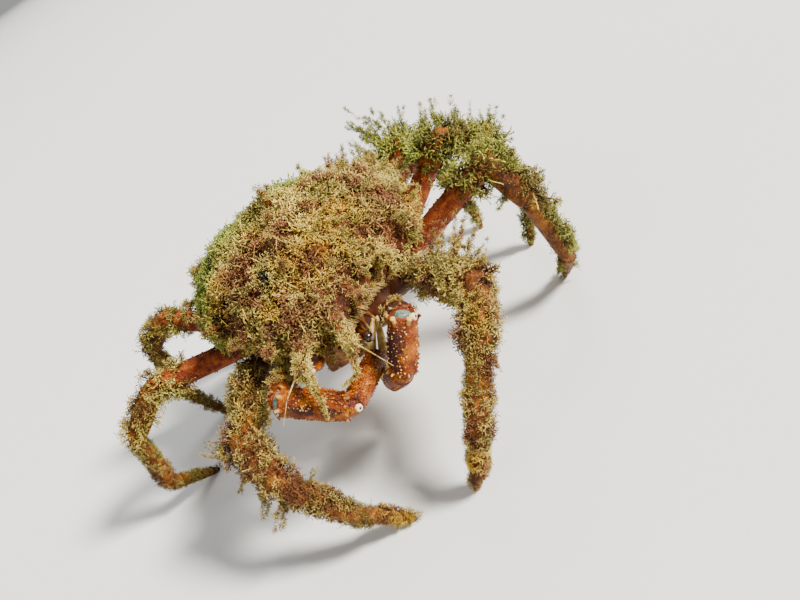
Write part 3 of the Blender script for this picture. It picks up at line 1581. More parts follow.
@dataclass
class WalkingLeg:
    """One walking leg: four lengths with rounded joints between them, under its own turf."""

    kit: Kit
    side: Side
    number: int
    rng: Rng
    parts: tuple[str, ...] = ("merus", "carpus", "propodus", "dactyl")
    radii: tuple[tuple[float, ...], ...] = ((6.2, 7.0, 7.2, 7.4, 6.8), (6.6, 7.2, 7.0, 6.2),
                                            (5.4, 5.4, 5.1, 4.8), (4.5, 4.0, 3.5, 2.9, 2.0))
    joint: float = 0.86
    sides: int = 22
    spacings: tuple[float, ...] = (2.85, 2.75, 2.4, 2.1)
    heights: tuple[float, ...] = (5.6, 5.0, 3.2, 2.7)
    sprigs: tuple[int, ...] = (4, 4, 5, 5)
    streamers: int = 9
    candidates: int = 60_000
    bare_merus: float = 0.66
    overgrown_side: Place = (0.944, 0.255, 0.157)
    wart_count: int = 150

    @property
    def label(self) -> str:
        """The leg's name in node names."""
        return f"leg_{self.side.label}_{self.number}"

    @property
    def plan(self) -> LegPlan:
        """This leg's row of the plan."""
        return LEG_PLANS[self.side, self.number]

    def joints(self) -> list[Vector]:
        """Places of the joints from the trunk to the foot.

        Returns:
            Five points in metres.
        """
        plan, sign = self.plan, self.side.value
        swing, lift = math.radians(plan.swing), math.radians(plan.lift)
        ahead = Vector((sign * math.cos(swing) * math.cos(lift), -math.sin(swing) * math.cos(lift),
                        math.sin(lift)))
        base, foot = spot(plan.base, sign), spot((*plan.foot, -MARGIN_HEIGHT), sign)
        bulge = Vector((plan.bulge[0] * sign, *plan.bulge[1:]))
        return [base, *shin_points(base + ahead * plan.merus * MM, foot, plan.shin, bulge)]

    def lengths(self) -> list[tuple[Vector, Vector, list[float]]]:
        """The leg's four lengths.

        Returns:
            Start and end in metres and half widths in millimetres of each.
        """
        points = self.joints()
        return [(start, end, [radius * self.plan.thick for radius in radii])
                for start, end, radii in zip(points, points[1:], self.radii)]

    def build_shell(self) -> None:
        """Make the leg's shell: four lengths, joints and the spines of its knee."""
        assembly = Assembly(f"{self.label}_shell", Slot.TURF_LEG)
        bare = self.number > 1
        up = UP if bare else Vector((0.3, 0.0, 1.0))
        for index, (start, end, sizes) in enumerate(self.lengths()):
            along = (end - start).normalized()
            inset, outset, rings, dome = 1.4, 1.4, 14, 0.30
            if index == 3:
                sizes[-1] = 1.6
                inset, outset, rings, dome = 1.0, 0.6, 16, 0.6
            assembly.add(limb([start + along * inset * MM, end - along * outset * MM], ladder(sizes), rings,
                              self.sides, up, 1.0, dome), 0 if bare and index == 0 else 1)
            if bare and index == 0:
                assembly.add(self.warts(start, end, sizes))
            if index:
                cuff = sizes[0] * self.joint
                assembly.add(limb([start - along * 2.2 * MM, start + along * 2.2 * MM],
                                  ((0.0, cuff * 0.86), (0.5, cuff), (1.0, cuff * 0.86)), 7, self.sides,
                                  up, 1.0, 0.5), 1)
        hip, knee = self.joints()[:2]
        run = (knee - hip).normalized()
        for turn in (-0.7, 0.7):
            outward = Matrix.Rotation(turn, 3, run) @ run.cross(run.cross(UP)).normalized()
            root = knee - run * 4.0 * MM - outward * 5.0 * self.plan.thick * MM
            assembly.add(thorn(root, root + (run * 0.7 - outward) * 5.5 * MM, 1.8))
        assembly.build((self.kit.merus, self.kit.shin), [f"{self.label}_{part}" for part in self.parts],
                       lambda where: {"mark": 0.12 + 0.25 * rumple(where, 0.015)})

    def warts(self, start: Vector, end: Vector, radii: Sequence[float]) -> Form:
        """Small tubercles over the bare length.

        Args:
            start: Where the length starts.
            end: Where it ends.
            radii: Its half widths in millimetres.

        Returns:
            The tubercles in one form.
        """
        rng = np.random.default_rng(self.number)
        at = rng.uniform(0.02, 0.98, self.wart_count)
        run = np.tile(np.array((end - start).normalized()), (self.wart_count, 1))
        outward = frames_about(run, rng.uniform(0.0, FULL_TURN, self.wart_count))[:, :, 0]
        return knobs_on(on_length(start, end, radii, at, outward), outward,
                        rng.uniform(0.3, 0.75, self.wart_count), rng)

    def cover(self, index: int, at: np.ndarray, outward: np.ndarray, roots: np.ndarray) -> np.ndarray:
        """How much of one length's turf is kept.

        Args:
            index: Which length it is, from the trunk.
            at: Shares of the length.
            outward: Directions out of the skin there.
            roots: The places in metres.

        Returns:
            The chance, from 0 to 1, that a tuft grows at each place.
        """
        keep = np.full(len(roots), 1.0)
        if self.number > 1:
            keep = (smooth_between(-0.75, -0.15, outward[:, 2] + 0.4 * rumple(roots, 0.01)) if index
                    else smooth_between(0.4, 1.0, at))
        if index in (1, 2) and (self.side, self.number) == (Side.LEFT, 2):
            facing = outward @ np.array(self.overgrown_side)
            keep = keep * smooth_between(-0.10, 0.40, facing + 0.4 * rumple(roots, 0.007))
        return keep * outside(roots, BARE_SPOTS.get((self.side, self.number), ()))

    def grow(self, coat: Coat, index: int, start: Vector, end: Vector, radii: Sequence[float]) -> None:
        """Grow the turf of one length.

        Args:
            coat: Takes the sprigs.
            index: Which length it is, from the trunk.
            start: Where the length starts.
            end: Where it ends.
            radii: Its half widths in millimetres.
        """
        rng, plan, tall = self.rng, self.plan, self.heights[index]
        run, span = np.array((end - start).normalized()), (end - start).length
        count = int(self.candidates * span)
        at = rng.uniform(self.bare_merus if index == 0 and self.number > 1 else 0.0, 1.0, count)
        angle = rng.uniform(0.0, FULL_TURN, count)
        outward = frames_about(np.tile(run, (count, 1)), angle)[:, :, 0]
        wide = blend(ladder(radii), at)[:, None] * MM
        roots = np.array(start) + run * (at * span)[:, None] + outward * wide
        chosen = thin(roots, self.spacings[index] * (plan.sparse if index < 2 or self.number > 1 else 1.0))
        keep = self.cover(index, at[chosen], outward[chosen], roots[chosen])
        chosen = chosen[rng.uniform(0, 1, len(chosen)) < keep]
        at, angle, outward, roots = at[chosen], angle[chosen], outward[chosen], roots[chosen]
        lies = unit(run * 0.8 + np.array((0.0, 0.0, -0.7)) + rng.uniform(-0.5, 0.5, (len(chosen), 3)))
        grown = plan.growth if index in (1, 2) else 0.5 + 0.5 * plan.growth
        heights = tall * grown * (0.52 + 1.0 * np.clip(0.5 + 1.2 * rumple(roots, 0.008, 2.0), 0, 1))
        low = smooth_between(0.012, 0.002, roots[:, 2]) * smooth_between(0.5, 0.0, outward[:, 2])
        heights = heights * (1.0 - 0.55 * low)
        greens = np.clip(plan.green + 0.35 * rumple(roots, 0.02, 5.0), 0.0, 1.0)
        maps = np.stack((0.02 + 0.96 * (angle / FULL_TURN), (index + 0.05 + 0.9 * at) / 4), axis=1)
        bed = Bed(roots, outward, lies, greens, maps)
        coat.tufts(bed, heights, self.sprigs[index], plan.shade)
        coat.streamers(bed, (tall * grown * 1.3, tall * grown * 1.9), int(self.streamers * grown))

    def build_turf(self) -> None:
        """Make the leg's turf."""
        coat = self.kit.coat(self.rng)
        for index, length in enumerate(self.lengths()):
            self.grow(coat, index, *length)
        for row in FRONDS.get((self.side, self.number), ()):
            coat.frond(row, Tint(self.plan.green, (0.5, 0.25), self.plan.shade))
        self.kit.show(coat, f"{self.label}_turf", Slot.TURF_LEG)


@dataclass
class ClawArm:
    """One cheliped: a spiny merus, a knobbed carpus, a slender palm and two closed fingers."""

    kit: Kit
    side: Side
    seed: int
    arm: tuple[float, ...] = (5.2, 6.2, 7.0, 6.6)
    wrist: tuple[float, ...] = (6.6, 7.4, 7.4, 6.4)
    palm: tuple[float, ...] = (5.6, 6.2, 6.2, 5.6)
    finger: tuple[float, ...] = (2.9, 2.5, 1.9, 0.9)
    finger_spread: float = 2.4
    sides: int = 36
    knob_rows: tuple[float, ...] = (-0.85, -0.50, 0.36, 0.62, 0.90, 1.20, 1.50, 1.85, 2.30)
    stain_turn: float = 0.27
    stain_width: float = 0.46
    merus_stain: float = 0.85
    knuckle: Place = (0.65, -0.76, 0.01)
    knuckle_joint: int = 2
    small_in_stain: float = 0.0
    stain_gap: float = 0.8
    merus_breadth: float = 1.0
    merus_dusk: float = 0.15
    membrane: float = 0.82
    paleness: float = 0.34
    knob_size: float = 0.50
    wrist_knobs: int = 27
    knob_tips: tuple[float, float] = (0.12, 0.55)
    turf_tufts: int = 60

    @property
    def label(self) -> str:
        """The arm's name in node names."""
        return f"cheliped_{self.side.label}"

    def points(self) -> list[Vector]:
        """Shoulder, elbow, wrist, knuckles and the fingers' tips, in metres."""
        return [spot(point) for point in CLAW_PATHS[self.side]]

    def outer_edge(self, start: Vector, end: Vector) -> tuple[Vector, Vector]:
        """The two directions that the knobs are set about.

        Args:
            start: Where the length starts.
            end: Where it ends.

        Returns:
            Outward towards the front, and up.
        """
        along = (end - start).normalized()
        out = along.cross(UP).normalized()
        out = -out if out.y > 0.0 else out
        up = out.cross(along).normalized()
        return out, up if up.z > 0.0 else -up

    def knobs(self, start: Vector, end: Vector, radii: Sequence[float], rows: Sequence[float],
              per_row: int, size: float, rng: Rng) -> Form:
        """Rows of tubercles along a length.

        Args:
            start: Where the length starts.
            end: Where it ends.
            radii: Its half widths in millimetres.
            rows: Turn of each row from the outer edge towards the top.
            per_row: Tubercles to a row.
            size: A tubercle's radius in millimetres.
            rng: Makes them uneven.

        Returns:
            The tubercles in one form.
        """
        out, up = self.outer_edge(start, end)
        count = per_row * len(rows)
        at = np.concatenate([np.linspace(0.10, 0.92, per_row) + (0.02 if row % 2 else -0.02)
                             for row in range(len(rows))]) + rng.normal(0, 0.012, count)
        turn = np.repeat(rows, per_row) + rng.normal(0.0, 0.07, count)
        outward = (np.array(out) * np.cos(turn)[:, None] + np.array(up) * np.sin(turn)[:, None])
        small = self.small_in_stain * np.exp(-((turn - self.stain_turn) / self.stain_width) ** 2)
        return knobs_on(on_length(start, end, radii, at, outward), outward,
                        size * rng.uniform(0.5, 1.3, count) * (1.0 - small), rng)

    def painter(self, start: Vector, end: Vector, radii: Sequence[float], stained: float,
                breadth: float, dusk: float) -> Callable[[np.ndarray], Values]:
        """Paint for one length: a stained flank in two patches, and pale knobs near it.

        Args:
            start: Where the length starts.
            end: Where it ends.
            radii: Its half widths in millimetres.
            stained: How strongly the flank is stained.
            breadth: How far the stain reaches round, in radians.
            dusk: How dark the far end is.

        Returns:
            A function from points to vertex values.
        """
        out, up = self.outer_edge(start, end)
        ahead, span = np.array((end - start).normalized()), (end - start).length

        def paint(points: np.ndarray) -> Values:
            """Vertex values for points.

            Args:
                points: The points in metres.

            Returns:
                The values by name.
            """
            from_start = points - np.array(start)
            at = from_start @ ahead / span
            aside = from_start - np.outer(at * span, ahead)
            reach = np.linalg.norm(aside, axis=1) / MM
            turn = np.arctan2(aside @ np.array(up), aside @ np.array(out)) - self.stain_turn
            turn = (turn + math.pi) % FULL_TURN - math.pi
            stretch = np.sin(math.pi * np.clip((at - 0.04) / 0.92, 0.0, 1.0)) ** 0.4
            gap = 1.0 - self.stain_gap * np.exp(-((at - 0.56) / 0.05) ** 2)
            flank = np.exp(-(turn / breadth) ** 2) * stretch * gap
            tip = smooth_between(*self.knob_tips, reach - blend(ladder(radii), np.clip(at, 0.0, 1.0)))
            near = self.paleness + 0.34 * np.exp(-((turn + 0.15) / (breadth + 0.3)) ** 2)
            near = near * smooth_between(-0.5, 0.2, rumple(points, 0.0022, 3.0))
            far = dusk * smooth_between(0.35, 1.0, at)
            return {"mark": (1.05 * stained * flank + far) * (1.0 - tip), "pale": np.clip(near * tip, 0, 1)}

        return paint

    def build(self) -> None:
        """Make the arm's five pieces."""
        rng, kit, points = np.random.default_rng(self.seed), self.kit, self.points()
        rows = (("merus", self.arm, 6, 11, 0.80, self.merus_stain, self.merus_breadth, self.merus_dusk),
                ("carpus", self.wrist, 9, self.wrist_knobs, self.knob_size, 1.0, 1.0, 0.0),
                ("palm", self.palm, 9, 22, 0.34, 0.0, 1.0, 0.55))
        for index, (part, radii, knob_rows, per_row, size, stained, breadth, dusk) in enumerate(rows):
            start, end = points[index], points[index + 1]
            along = (end - start).normalized()
            out, up = self.outer_edge(start, end)
            assembly = Assembly(f"{self.label}_{part}_shell", Slot.CLAW)
            first = start + along * (-0.6 if index == 1 else 1.2) * MM
            assembly.add(limb([first, end - along * 1.6 * MM], ladder(radii), 22, self.sides, up, 0.94,
                              0.22))
            if index:
                cuff = radii[0] * (self.membrane if index == 1 else 0.80)
                assembly.add(limb([start - along * 2.2 * MM, start + along * 1.8 * MM],
                                  ((0.0, cuff * 0.92), (0.5, cuff * 1.04), (1.0, cuff * 0.92)), 9,
                                  self.sides, up, 1.0, 0.5), 1 if index == 1 else 0)
            if index == self.knuckle_joint:
                outward = Vector(self.knuckle).normalized()
                boss = start + outward * radii[0] * 0.84 * MM
                assembly.add(self.condyle(boss, outward), 2)
                pit = boss + outward * 0.9 * MM
                assembly.add(limb([pit, pit + outward * 0.5 * MM], ((0.0, 0.8), (1.0, 0.65)), 4, 12, up), 3)
            if index == 1:
                for turn in (-1.0, 0.1, 1.1, 2.2):
                    outward = out * math.cos(turn) + up * math.sin(turn)
                    root = start + outward * (radii[0] - 1.4) * MM + along * 0.8 * MM
                    assembly.add(thorn(root, root + (outward * 0.9 - along) * 3.1 * MM, 2.4, 12, None, 0.5))
            assembly.add(self.knobs(start, end, radii, self.knob_rows[:knob_rows], per_row, size, rng))
            if part != "palm":
                for turn in (-1.7, -1.1, -0.5, 0.1, 0.7, 1.3, 2.0, 2.7):
                    outward = out * math.cos(turn) + up * math.sin(turn)
                    root = end - along * 2.8 * MM + outward * (radii[-1] - 1.6) * MM
                    assembly.add(thorn(root, root + (outward + along * 0.9) * rng.uniform(2.4, 3.3) * MM,
                                       rng.uniform(1.5, 2.1), 10))
            skin = kit.palm if part == "palm" else kit.shell
            assembly.build((skin, kit.membrane, kit.boss, kit.cornea), (f"{self.label}_{part}",),
                           self.painter(start, end, radii, stained, self.stain_width * breadth, dusk))
        self.build_fingers()

    def condyle(self, centre: Vector, outward: Vector) -> Form:
        """Pale round knuckle with a pit in its middle.

        Args:
            centre: Its middle in metres.
            outward: The way that it faces.

        Returns:
            The closed form.
        """
        profile = ((-1.2, 1.5), (0.0, 1.9), (0.8, 1.8), (1.3, 1.4), (1.4, 0.9), (0.8, 0.6), (0.5, 0.2))
        sections = [Section(centre + outward * rise * MM, outward, wide * MM, wide * MM)
                    for rise, wide in profile]
        return loft(sections, 20, outward.orthogonal())

    def build_fingers(self) -> None:
        """Make the fixed and the movable finger."""
        start, tip = self.points()[3:]
        across = (tip - start).normalized().cross(Vector((0.3, 1.0, 0.2))).normalized()
        for name, sign in (("fixed_finger", 1.0), ("movable_finger", -1.0)):
            line = [start.lerp(tip, share) + across * self.finger_spread * MM * sign
                    * (1.35 - 0.95 * share) for share in (0.0, 0.33, 0.67, 0.97)]
            assembly = Assembly(f"{self.label}_{name}_horn", Slot.FINGER)
            assembly.add(limb(line, ladder(self.finger), 20, 20, across, 0.9, 0.5))
            for share in (0.35, 0.5, 0.65, 0.8):
                middle = start.lerp(tip, share) + across * sign * 0.9 * MM
                assembly.add(thorn(middle, middle - across * sign * 0.7 * MM, 0.8, 8))
            assembly.build((self.kit.horn,), (f"{self.label}_{name}",), lambda where: {
                "pale": smooth_between(0.02, 0.03, np.linalg.norm(where - np.array(start), axis=1))})

    def build_turf(self) -> None:
        """Grow turf on the arm's first length."""
        rng, count = np.random.default_rng(self.seed + 10), self.turf_tufts
        start, end = self.points()[:2]
        run = np.array((end - start).normalized())
        at = rng.uniform(0.1, 0.80, count)
        outward = unit(np.cross(run, rng.normal(0.0, 1.0, (count, 3))))
        outward = outward * np.where(outward[:, 2:3] < -0.35, -1.0, 1.0)
        maps = np.stack((np.arctan2(outward[:, 2], outward[:, 0]) / FULL_TURN + 0.5, at), axis=1)
        bed = Bed(on_length(start, end, self.arm, at, outward), outward, np.tile(run, (count, 1)),
                  np.zeros(count), 0.02 + 0.96 * maps)
        coat = self.kit.coat(rng)
        coat.tufts(bed, rng.uniform(2.2, 4.2, count), 3)
        self.kit.show(coat, f"{self.label}_turf", Slot.TURF_LEG)


CLAW_PATHS: dict[Side, tuple[Place, ...]] = {
    Side.LEFT: ((33, -44, -17), (39, -88, 0), (26, -93.5, -22), (15, -63, -42), (13, -56, -20)),
    Side.RIGHT: ((-33, -44, -17), (-29, -90, -6), (-1, -100, -20), (16.5, -68, -22), (24, -54, -10)),
}


@dataclass
class HalfHead:
    """One side of the head: eye, feeler, jaw leg with its fringe, and the spines round the eye."""

    kit: Kit
    side: Side
    rng: Rng
    eye_root: Place = (14.5, -59.0, -9.0)
    eye_end: Place = (19.0, -74.5, -8.0)
    stalk: tuple[float, ...] = (2.3, 2.0, 2.0, 2.6)
    cornea: float = 2.8
    feeler: tuple[Place, ...] = ((7.8, -58.0, -11.5), (8.6, -72.0, -9.0), (10.4, -82.0, -4.0),
                                 (12.5, -88.0, -0.5), (17.0, -96.0, 4.0), (22.0, -106.0, 3.0),
                                 (28.0, -114.0, -3.0))
    feeler_radii: tuple[float, ...] = (2.3, 2.0, 1.3, 0.40, 0.34, 0.26, 0.16)
    whip_rings: int = 60
    jaw: Place = (12.5, 4.0, 20.0)
    jaw_top: float = -9.0
    jaw_taper: float = 0.22
    jaw_gap: float = 0.3
    palp: tuple[Place, ...] = ((8.5, -3.6, -3.5), (3.2, -4.6, -6.0), (2.6, -4.4, -13.5))
    orbit_spines: tuple[Frond, ...] = (
        ((18.5, -61.0, -4.0), (21.1, -70.8, -5.9), 1.8), ((21.5, -57.0, -5.0), (25.3, -63.8, -6.9), 1.8),
        ((13.0, -62.0, -2.0), (14.5, -70.3, -2.8), 1.6))
    fringe_tufts: int = 70

    def at(self, point: Sequence[float]) -> Vector:
        """A place of the plan on this side of the head."""
        return spot(point, self.side.value)

    def build(self) -> None:
        """Make this side's pieces."""
        self.build_eye()
        self.build_feeler()
        self.build_jaw_leg()
        self.build_orbit()
        self.build_fringe()

    def build_eye(self) -> None:
        """Make the eye on its stalk."""
        root, end = self.at(self.eye_root), self.at(self.eye_end)
        along = (end - root).normalized()
        neck = end - along * 4.6 * MM
        assembly = Assembly(f"eye_{self.side.label}_ball", Slot.EYE)
        assembly.add(limb([root, neck], ladder(self.stalk), 12, 20, UP, 1.0, 0.4), 1)
        assembly.add(limb([neck - along * 0.6 * MM, end - along * 1.6 * MM],
                          ((0.0, 2.3), (0.5, self.cornea), (1.0, 2.5)), 12, 28, UP, 1.0, 0.8))
        assembly.build((self.kit.cornea, self.kit.shin), (f"eye_{self.side.label}",))

    def build_feeler(self) -> None:
        """Make the feeler: three stout joints and a ringed whip."""
        points = [self.at(point) for point in self.feeler]
        assembly = Assembly(f"antenna_{self.side.label}_joints", Slot.CLAW)
        for index, (first, last) in enumerate(zip(self.feeler_radii[:3], self.feeler_radii[1:])):
            worn = index == 2 and self.side is Side.RIGHT
            assembly.add(limb(points[index:index + 2], ((0.0, first * 0.86), (0.25, first), (0.75, last),
                                                        (1.0, last * 0.9)), 10, 16, UP, 1.0, 0.5),
                         2 if worn else 0)
        knots, last = ladder(self.feeler_radii[3:]), self.whip_rings
        rings = tuple((step / last, float(blend(knots, step / last)) * (1.12 if step % 2 else 0.86))
                      for step in range(last + 1))
        assembly.add(limb(points[3:], rings, last + 1, 8, UP, 1.0, 0.5), 1)
        assembly.build((self.kit.shell, self.kit.horn, self.kit.boss), (f"antenna_{self.side.label}",))

    def build_jaw_leg(self) -> None:
        """Make the outer jaw leg: a broad plate, a smaller one above it, and a folded palp."""
        wide, deep, tall = self.jaw
        assembly = Assembly(f"maxilliped_{self.side.label}_plates", Slot.UNDERSIDE)
        for low, high, breadth, depth in ((0.0, 0.56, 0.92, 1.0), (0.58, 1.0, 0.98, 0.8)):
            bm = bmesh.new()
            bmesh.ops.create_cube(bm, size=1.0)
            bmesh.ops.bevel(bm, geom=bm.edges[:], offset=0.16, offset_type="OFFSET", segments=3,
                            profile=0.5, affect="EDGES", material=-1)
            for vert in bm.verts:
                x, y, z = vert.co
                up = low + (high - low) * (z + 0.5)
                narrow = breadth * (1.0 - self.jaw_taper * up ** 2)
                vert.co = self.at((self.jaw_gap + wide * (x + 0.5) * narrow,
                                   JAW_PLATE_BACK - deep * 0.5 + y * deep * depth * 0.96,
                                   self.jaw_top - tall * (1.0 - up)))
            bmesh.ops.recalc_face_normals(bm, faces=bm.faces)
            assembly.add(bm)
        palp = [self.at((x, JAW_PLATE_BACK + y, self.jaw_top + z)) for x, y, z in self.palp]
        assembly.add(limb(palp, ladder((1.7, 1.5, 1.3, 0.7)), 16, 12, Vector((0, 1, 0)), 0.7, 0.6))
        assembly.build((self.kit.underside,), (f"maxilliped_{self.side.label}",),
                       lambda where: {"mark": np.clip(0.35 + 0.5 * rumple(where, 0.006), 0, 1)})

    def build_orbit(self) -> None:
        """Make the spines that stand round the eye, pale towards their points."""
        assembly = Assembly(f"orbit_{self.side.label}_spines", Slot.CLAW)
        for root, tip, radius in self.orbit_spines:
            assembly.add(thorn(self.at(root), self.at(tip), radius, 14, Vector((0.0, 0.0, 0.8)) * MM, 0.2))
        tips = [np.array(self.at(tip)) for _, tip, _ in self.orbit_spines]
        assembly.build((self.kit.shin,), (), lambda where: {"pale": 0.3 * smooth_between(
            0.004, 0.001, np.min([np.linalg.norm(where - tip, axis=1) for tip in tips], axis=0))})

    def build_fringe(self) -> None:
        """Grow short hair on the face of the jaw leg."""
        rng, count, (wide, deep, tall) = self.rng, self.fringe_tufts, self.jaw
        across, up = rng.uniform(0.06, 0.94, count), rng.uniform(0.02, 0.98, count)
        x = (self.jaw_gap + wide * across * (1.0 - self.jaw_taper * up ** 2)) * self.side.value
        roots = place(x, JAW_PLATE_BACK - deep * 0.94, self.jaw_top - tall * (1.0 - up))
        bed = Bed(roots, np.tile((0.0, -1.0, 0.0), (count, 1)), np.tile((0.0, 0.0, -1.0), (count, 1)),
                  np.zeros(count), np.stack((across, up), axis=1))
        coat = self.kit.coat(rng)
        coat.tufts(bed, rng.uniform(1.2, 2.4, count), 2)
        self.kit.show(coat, f"maxilliped_{self.side.label}_fringe", Slot.TURF_SHELL)


@dataclass
class Underside:
    """Trunk with the roots of its limbs, and the broad tail folded under it."""

    kit: Kit
    legs: Sequence[WalkingLeg]
    arms: Sequence[ClawArm]
    half_width: float = 46.0
    front: float = -54.0
    face: float = -46.0
    rear: float = 58.0
    depth: float = 32.0
    top: float = -6.3
    tail: tuple[Place, ...] = ((60, -9, 11), (62, -20, 15), (54, -30.5, 22), (34, -34.0, 28),
                               (10, -34.5, 29), (-8, -34.0, 22), (-18, -33.0, 9))
    tail_rows: int = 43
    tail_joints: float = 6.0
    tail_thickness: float = 4.0
    groove_spacing: float = 17.0
    groove_depth: float = 0.9

    def trunk(self) -> Form:
        """The trunk's lower form, with grooves between its plates.

        Returns:
            The closed form.
        """
        bm = bmesh.new()
        bmesh.ops.create_uvsphere(bm, u_segments=72, v_segments=44, radius=1.0)
        middle, half = 0.5 * (self.front + self.rear), 0.5 * (self.rear - self.front)
        for vert in bm.verts:
            side = math.copysign(abs(vert.co.x) ** 0.9, vert.co.x)
            low = min(0.0, vert.co.z)
            along = middle + vert.co.y * half
            from_groove = (along + 100.0) % self.groove_spacing - 0.5 * self.groove_spacing
            groove = math.exp(-(from_groove / 1.3) ** 2) * abs(low) ** 0.4
            sink = self.groove_depth * groove * min(1.0, abs(vert.co.x) * 3.0)
            z = (self.top if vert.co.z > -0.02
                 else self.top - abs(low) ** 0.7 * (self.depth + self.top) + sink)
            wide = self.half_width * (1.0 - 0.25 * max(0.0, -vert.co.y) ** 2)
            vert.co = spot((side * wide, max(along, self.face), z))
        bmesh.ops.recalc_face_normals(bm, faces=bm.faces)
        return bm

    def limb_roots(self) -> list[Form]:
        """A short root for each limb.

        Returns:
            One form for each root.
        """
        starts = [(*leg.joints()[:2], 6.2 * leg.plan.thick) for leg in self.legs]
        starts += [(*arm.points()[:2], arm.arm[0]) for arm in self.arms]
        forms = []
        for base, beyond, radius in starts:
            x, y, z = (np.array(base) - SHIFT) / MM
            inner = spot((x * 0.5, y * 0.85, z - 3.0))
            outer = base - (beyond - base).normalized() * 0.8 * MM
            forms.append(limb([inner, inner.lerp(base, 0.6), outer],
                              ((0.0, radius + 1.6), (0.55, radius + 1.2), (0.75, radius + 0.3),
                               (0.9, radius + 1.0), (1.0, radius)), 18, 24, UP, 0.94, 0.3))
        return forms

    def tail_flap(self) -> Form:
        """The folded tail with a step at each of its joints.

        Returns:
            The closed form.
        """
        knots, last = np.array(self.tail, float), self.tail_rows - 1
        at = np.linspace(0.0, 1.0, self.tail_rows)
        y, z, half = along_path(knots, np.linspace(0.0, 1.0, len(knots)), at)
        sections = []
        for index in range(self.tail_rows):
            before, after = max(index - 1, 0), min(index + 1, last)
            ahead = Vector((0.0, y[after] - y[before], z[after] - z[before])).normalized()
            lip = 1.0 - 0.16 * math.exp(-((at[index] * self.tail_joints) % 1.0 / 0.16) ** 2)
            sections.append(Section(spot((0.0, y[index], z[index])), ahead, half[index] * MM,
                                    self.tail_thickness * 0.5 * lip * MM))
        return loft(sections, 40, Vector((0.0, -1.0, 0.4)))

    def build(self) -> None:
        """Make the trunk's and the tail's pieces."""
        trunk = Assembly("thorax_plates", Slot.UNDERSIDE)
        for form in (self.trunk(), *self.limb_roots()):
            trunk.add(form)
        trunk.build((self.kit.underside,), ("thorax",), lambda where: {"mark": np.clip(
            0.5 * rumple(where, 0.02) + smooth_between(-0.034, -0.018, where[:, 2] - SHIFT[2]), 0, 1)})
        tail = Assembly("abdomen_flap", Slot.UNDERSIDE)
        tail.add(self.tail_flap())
        tail.build((self.kit.underside,), ("abdomen",),
                   lambda where: {"mark": np.clip(0.4 * rumple(where, 0.012), 0, 1)})


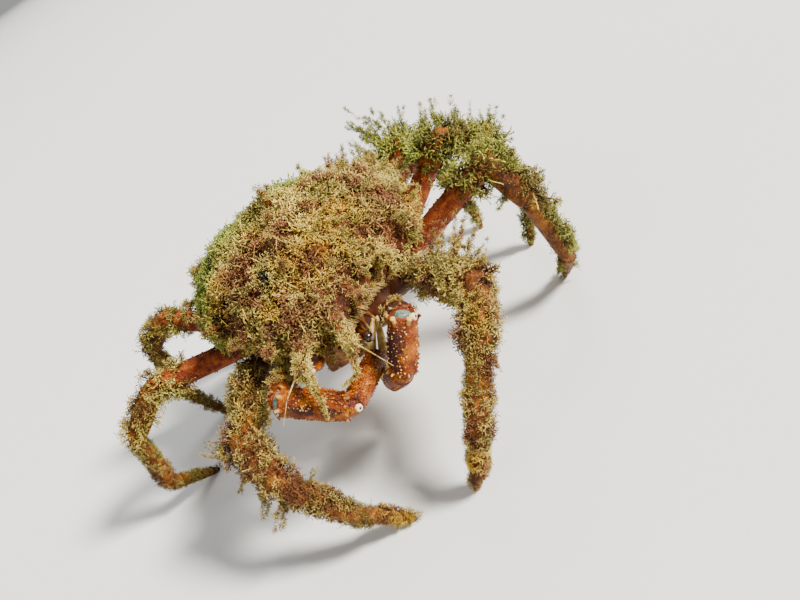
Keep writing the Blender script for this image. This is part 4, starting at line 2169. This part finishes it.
@dataclass(frozen=True)
class Studio:
    """Pale floor, soft lights and the camera."""

    azimuth: float = 11.0
    elevation: float = 24.0
    roll: float = -35.0
    distance: float = 0.492
    lens: float = 40.5
    shift: tuple[float, float] = (0.10625, -0.02875)
    floor_size: float = 120.0
    surround: float = 0.86
    surround_strength: float = 0.42

    def axes(self) -> tuple[Vector, Vector, Vector]:
        """The camera's right, up and backward directions.

        Returns:
            The three directions.
        """
        turn, lift, roll = (math.radians(angle) for angle in (self.azimuth, self.elevation, self.roll))
        back = Vector((math.sin(turn) * math.cos(lift), -math.cos(turn) * math.cos(lift),
                       math.sin(lift)))
        right = Vector((math.cos(turn), math.sin(turn), 0.0))
        up = back.cross(right)
        return (right * math.cos(roll) + up * math.sin(roll),
                up * math.cos(roll) - right * math.sin(roll), back)

    def hang(self, name: str, data: bpy.types.Camera | bpy.types.Light, offset: Vector,
             turn: Matrix) -> bpy.types.Object:
        """Place a camera or a lamp.

        Args:
            name: Its name.
            data: The camera or the lamp.
            offset: Its place from the middle of the crab, in metres.
            turn: The way that it looks.

        Returns:
            The object.
        """
        holder = bpy.data.objects.new(name, data)
        holder.matrix_world = Matrix.Translation(Vector(SHIFT) + offset) @ turn.to_4x4()
        bpy.context.scene.collection.objects.link(holder)
        return holder

    def set_camera(self) -> None:
        """Place the camera where the photograph was taken from."""
        right, up, back = self.axes()
        data = bpy.data.cameras.new("camera")
        data.lens, (data.shift_x, data.shift_y), data.clip_start = self.lens, self.shift, 0.01
        turn = Matrix((right, up, back)).transposed()
        bpy.context.scene.camera = self.hang("camera", data, back * self.distance, turn)

    def set_floor(self) -> None:
        """Lay the floor."""
        bm = bmesh.new()
        bmesh.ops.create_grid(bm, x_segments=2, y_segments=2, size=self.floor_size * 0.5)
        mesh = bpy.data.meshes.new("floor")
        bm.to_mesh(mesh)
        bm.free()
        mesh.materials.append(FloorFinish().make())
        floor = bpy.data.objects.new("floor", mesh)
        bpy.context.scene.collection.objects.link(floor)
        floor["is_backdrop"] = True

    def set_lights(self) -> None:
        """Hang the key, the fill and the back light, and set the pale surround."""
        right, up, back = self.axes()
        for name, direction, distance, size, power, colour in (
                ("key", back * 0.65 + right * 0.30 + up * 0.70, 30.0, 7.5, 34000.0, (1.0, 0.955, 0.87)),
                ("fill", back * 0.8 - right * 0.9 - up * 0.1, 35.0, 25.0, 3600.0, (0.95, 0.98, 1.0)),
                ("rim", Vector((0.3, 1.0, 0.9)), 35.0, 20.0, 5400.0, (1.0, 1.0, 1.0))):
            lamp = bpy.data.lights.new(name, "AREA")
            lamp.shape, lamp.size, lamp.energy, lamp.color = "DISK", size, power, colour
            away = direction.normalized()
            self.hang(name, lamp, away * distance, away.to_track_quat("Z", "Y").to_matrix())
        world = bpy.data.worlds.new("surround")
        world.use_nodes = True
        backdrop = world.node_tree.nodes["Background"].inputs
        backdrop["Color"].default_value = (*(self.surround,) * 3, 1.0)
        backdrop["Strength"].default_value = self.surround_strength
        bpy.context.scene.world = world

    def build(self) -> None:
        """Set up everything that isn't the crab."""
        self.set_floor()
        self.set_lights()
        self.set_camera()


def write_sizes() -> None:
    """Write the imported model's box and the dressed model's box."""
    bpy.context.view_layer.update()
    grown = [round(float(value) * 1000, 1) for low, high in (CAD_BOX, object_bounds())
             for value in (high - low)]
    log.info("box in mm, packed then dressed: %s", grown)


def main() -> None:
    """Build the crab and its studio."""
    logging.basicConfig(level=logging.INFO, format="%(message)s")
    kit = Kit.make()
    carapace = Carapace(kit, np.random.default_rng(11))
    carapace.build()
    ShellTurf(carapace, np.random.default_rng(12)).build()
    legs = [WalkingLeg(kit, side, number, np.random.default_rng(20 + index))
            for index, (side, number) in enumerate(LEG_PLANS)]
    for leg in legs:
        leg.build_shell()
        leg.build_turf()
    arms = [ClawArm(kit, Side.LEFT, 40, stain_turn=1.45, stain_width=1.25, merus_stain=2.2,
                    knuckle=(0.87, -0.46, -0.05), knuckle_joint=1, small_in_stain=0.35, stain_gap=0.0,
                    merus_breadth=1.36, merus_dusk=0.5, membrane=0.66, paleness=0.58,
                    knob_size=0.60, wrist_knobs=15, knob_tips=(0.15, 0.50), turf_tufts=12),
            ClawArm(kit, Side.RIGHT, 41)]
    for arm in arms:
        arm.build()
        arm.build_turf()
    head_rng = np.random.default_rng(60)
    for side in Side:
        HalfHead(kit, side, head_rng).build()
    Underside(kit, legs, arms).build()
    Studio().build()
    write_sizes()


if __name__ == "__main__":
    main()
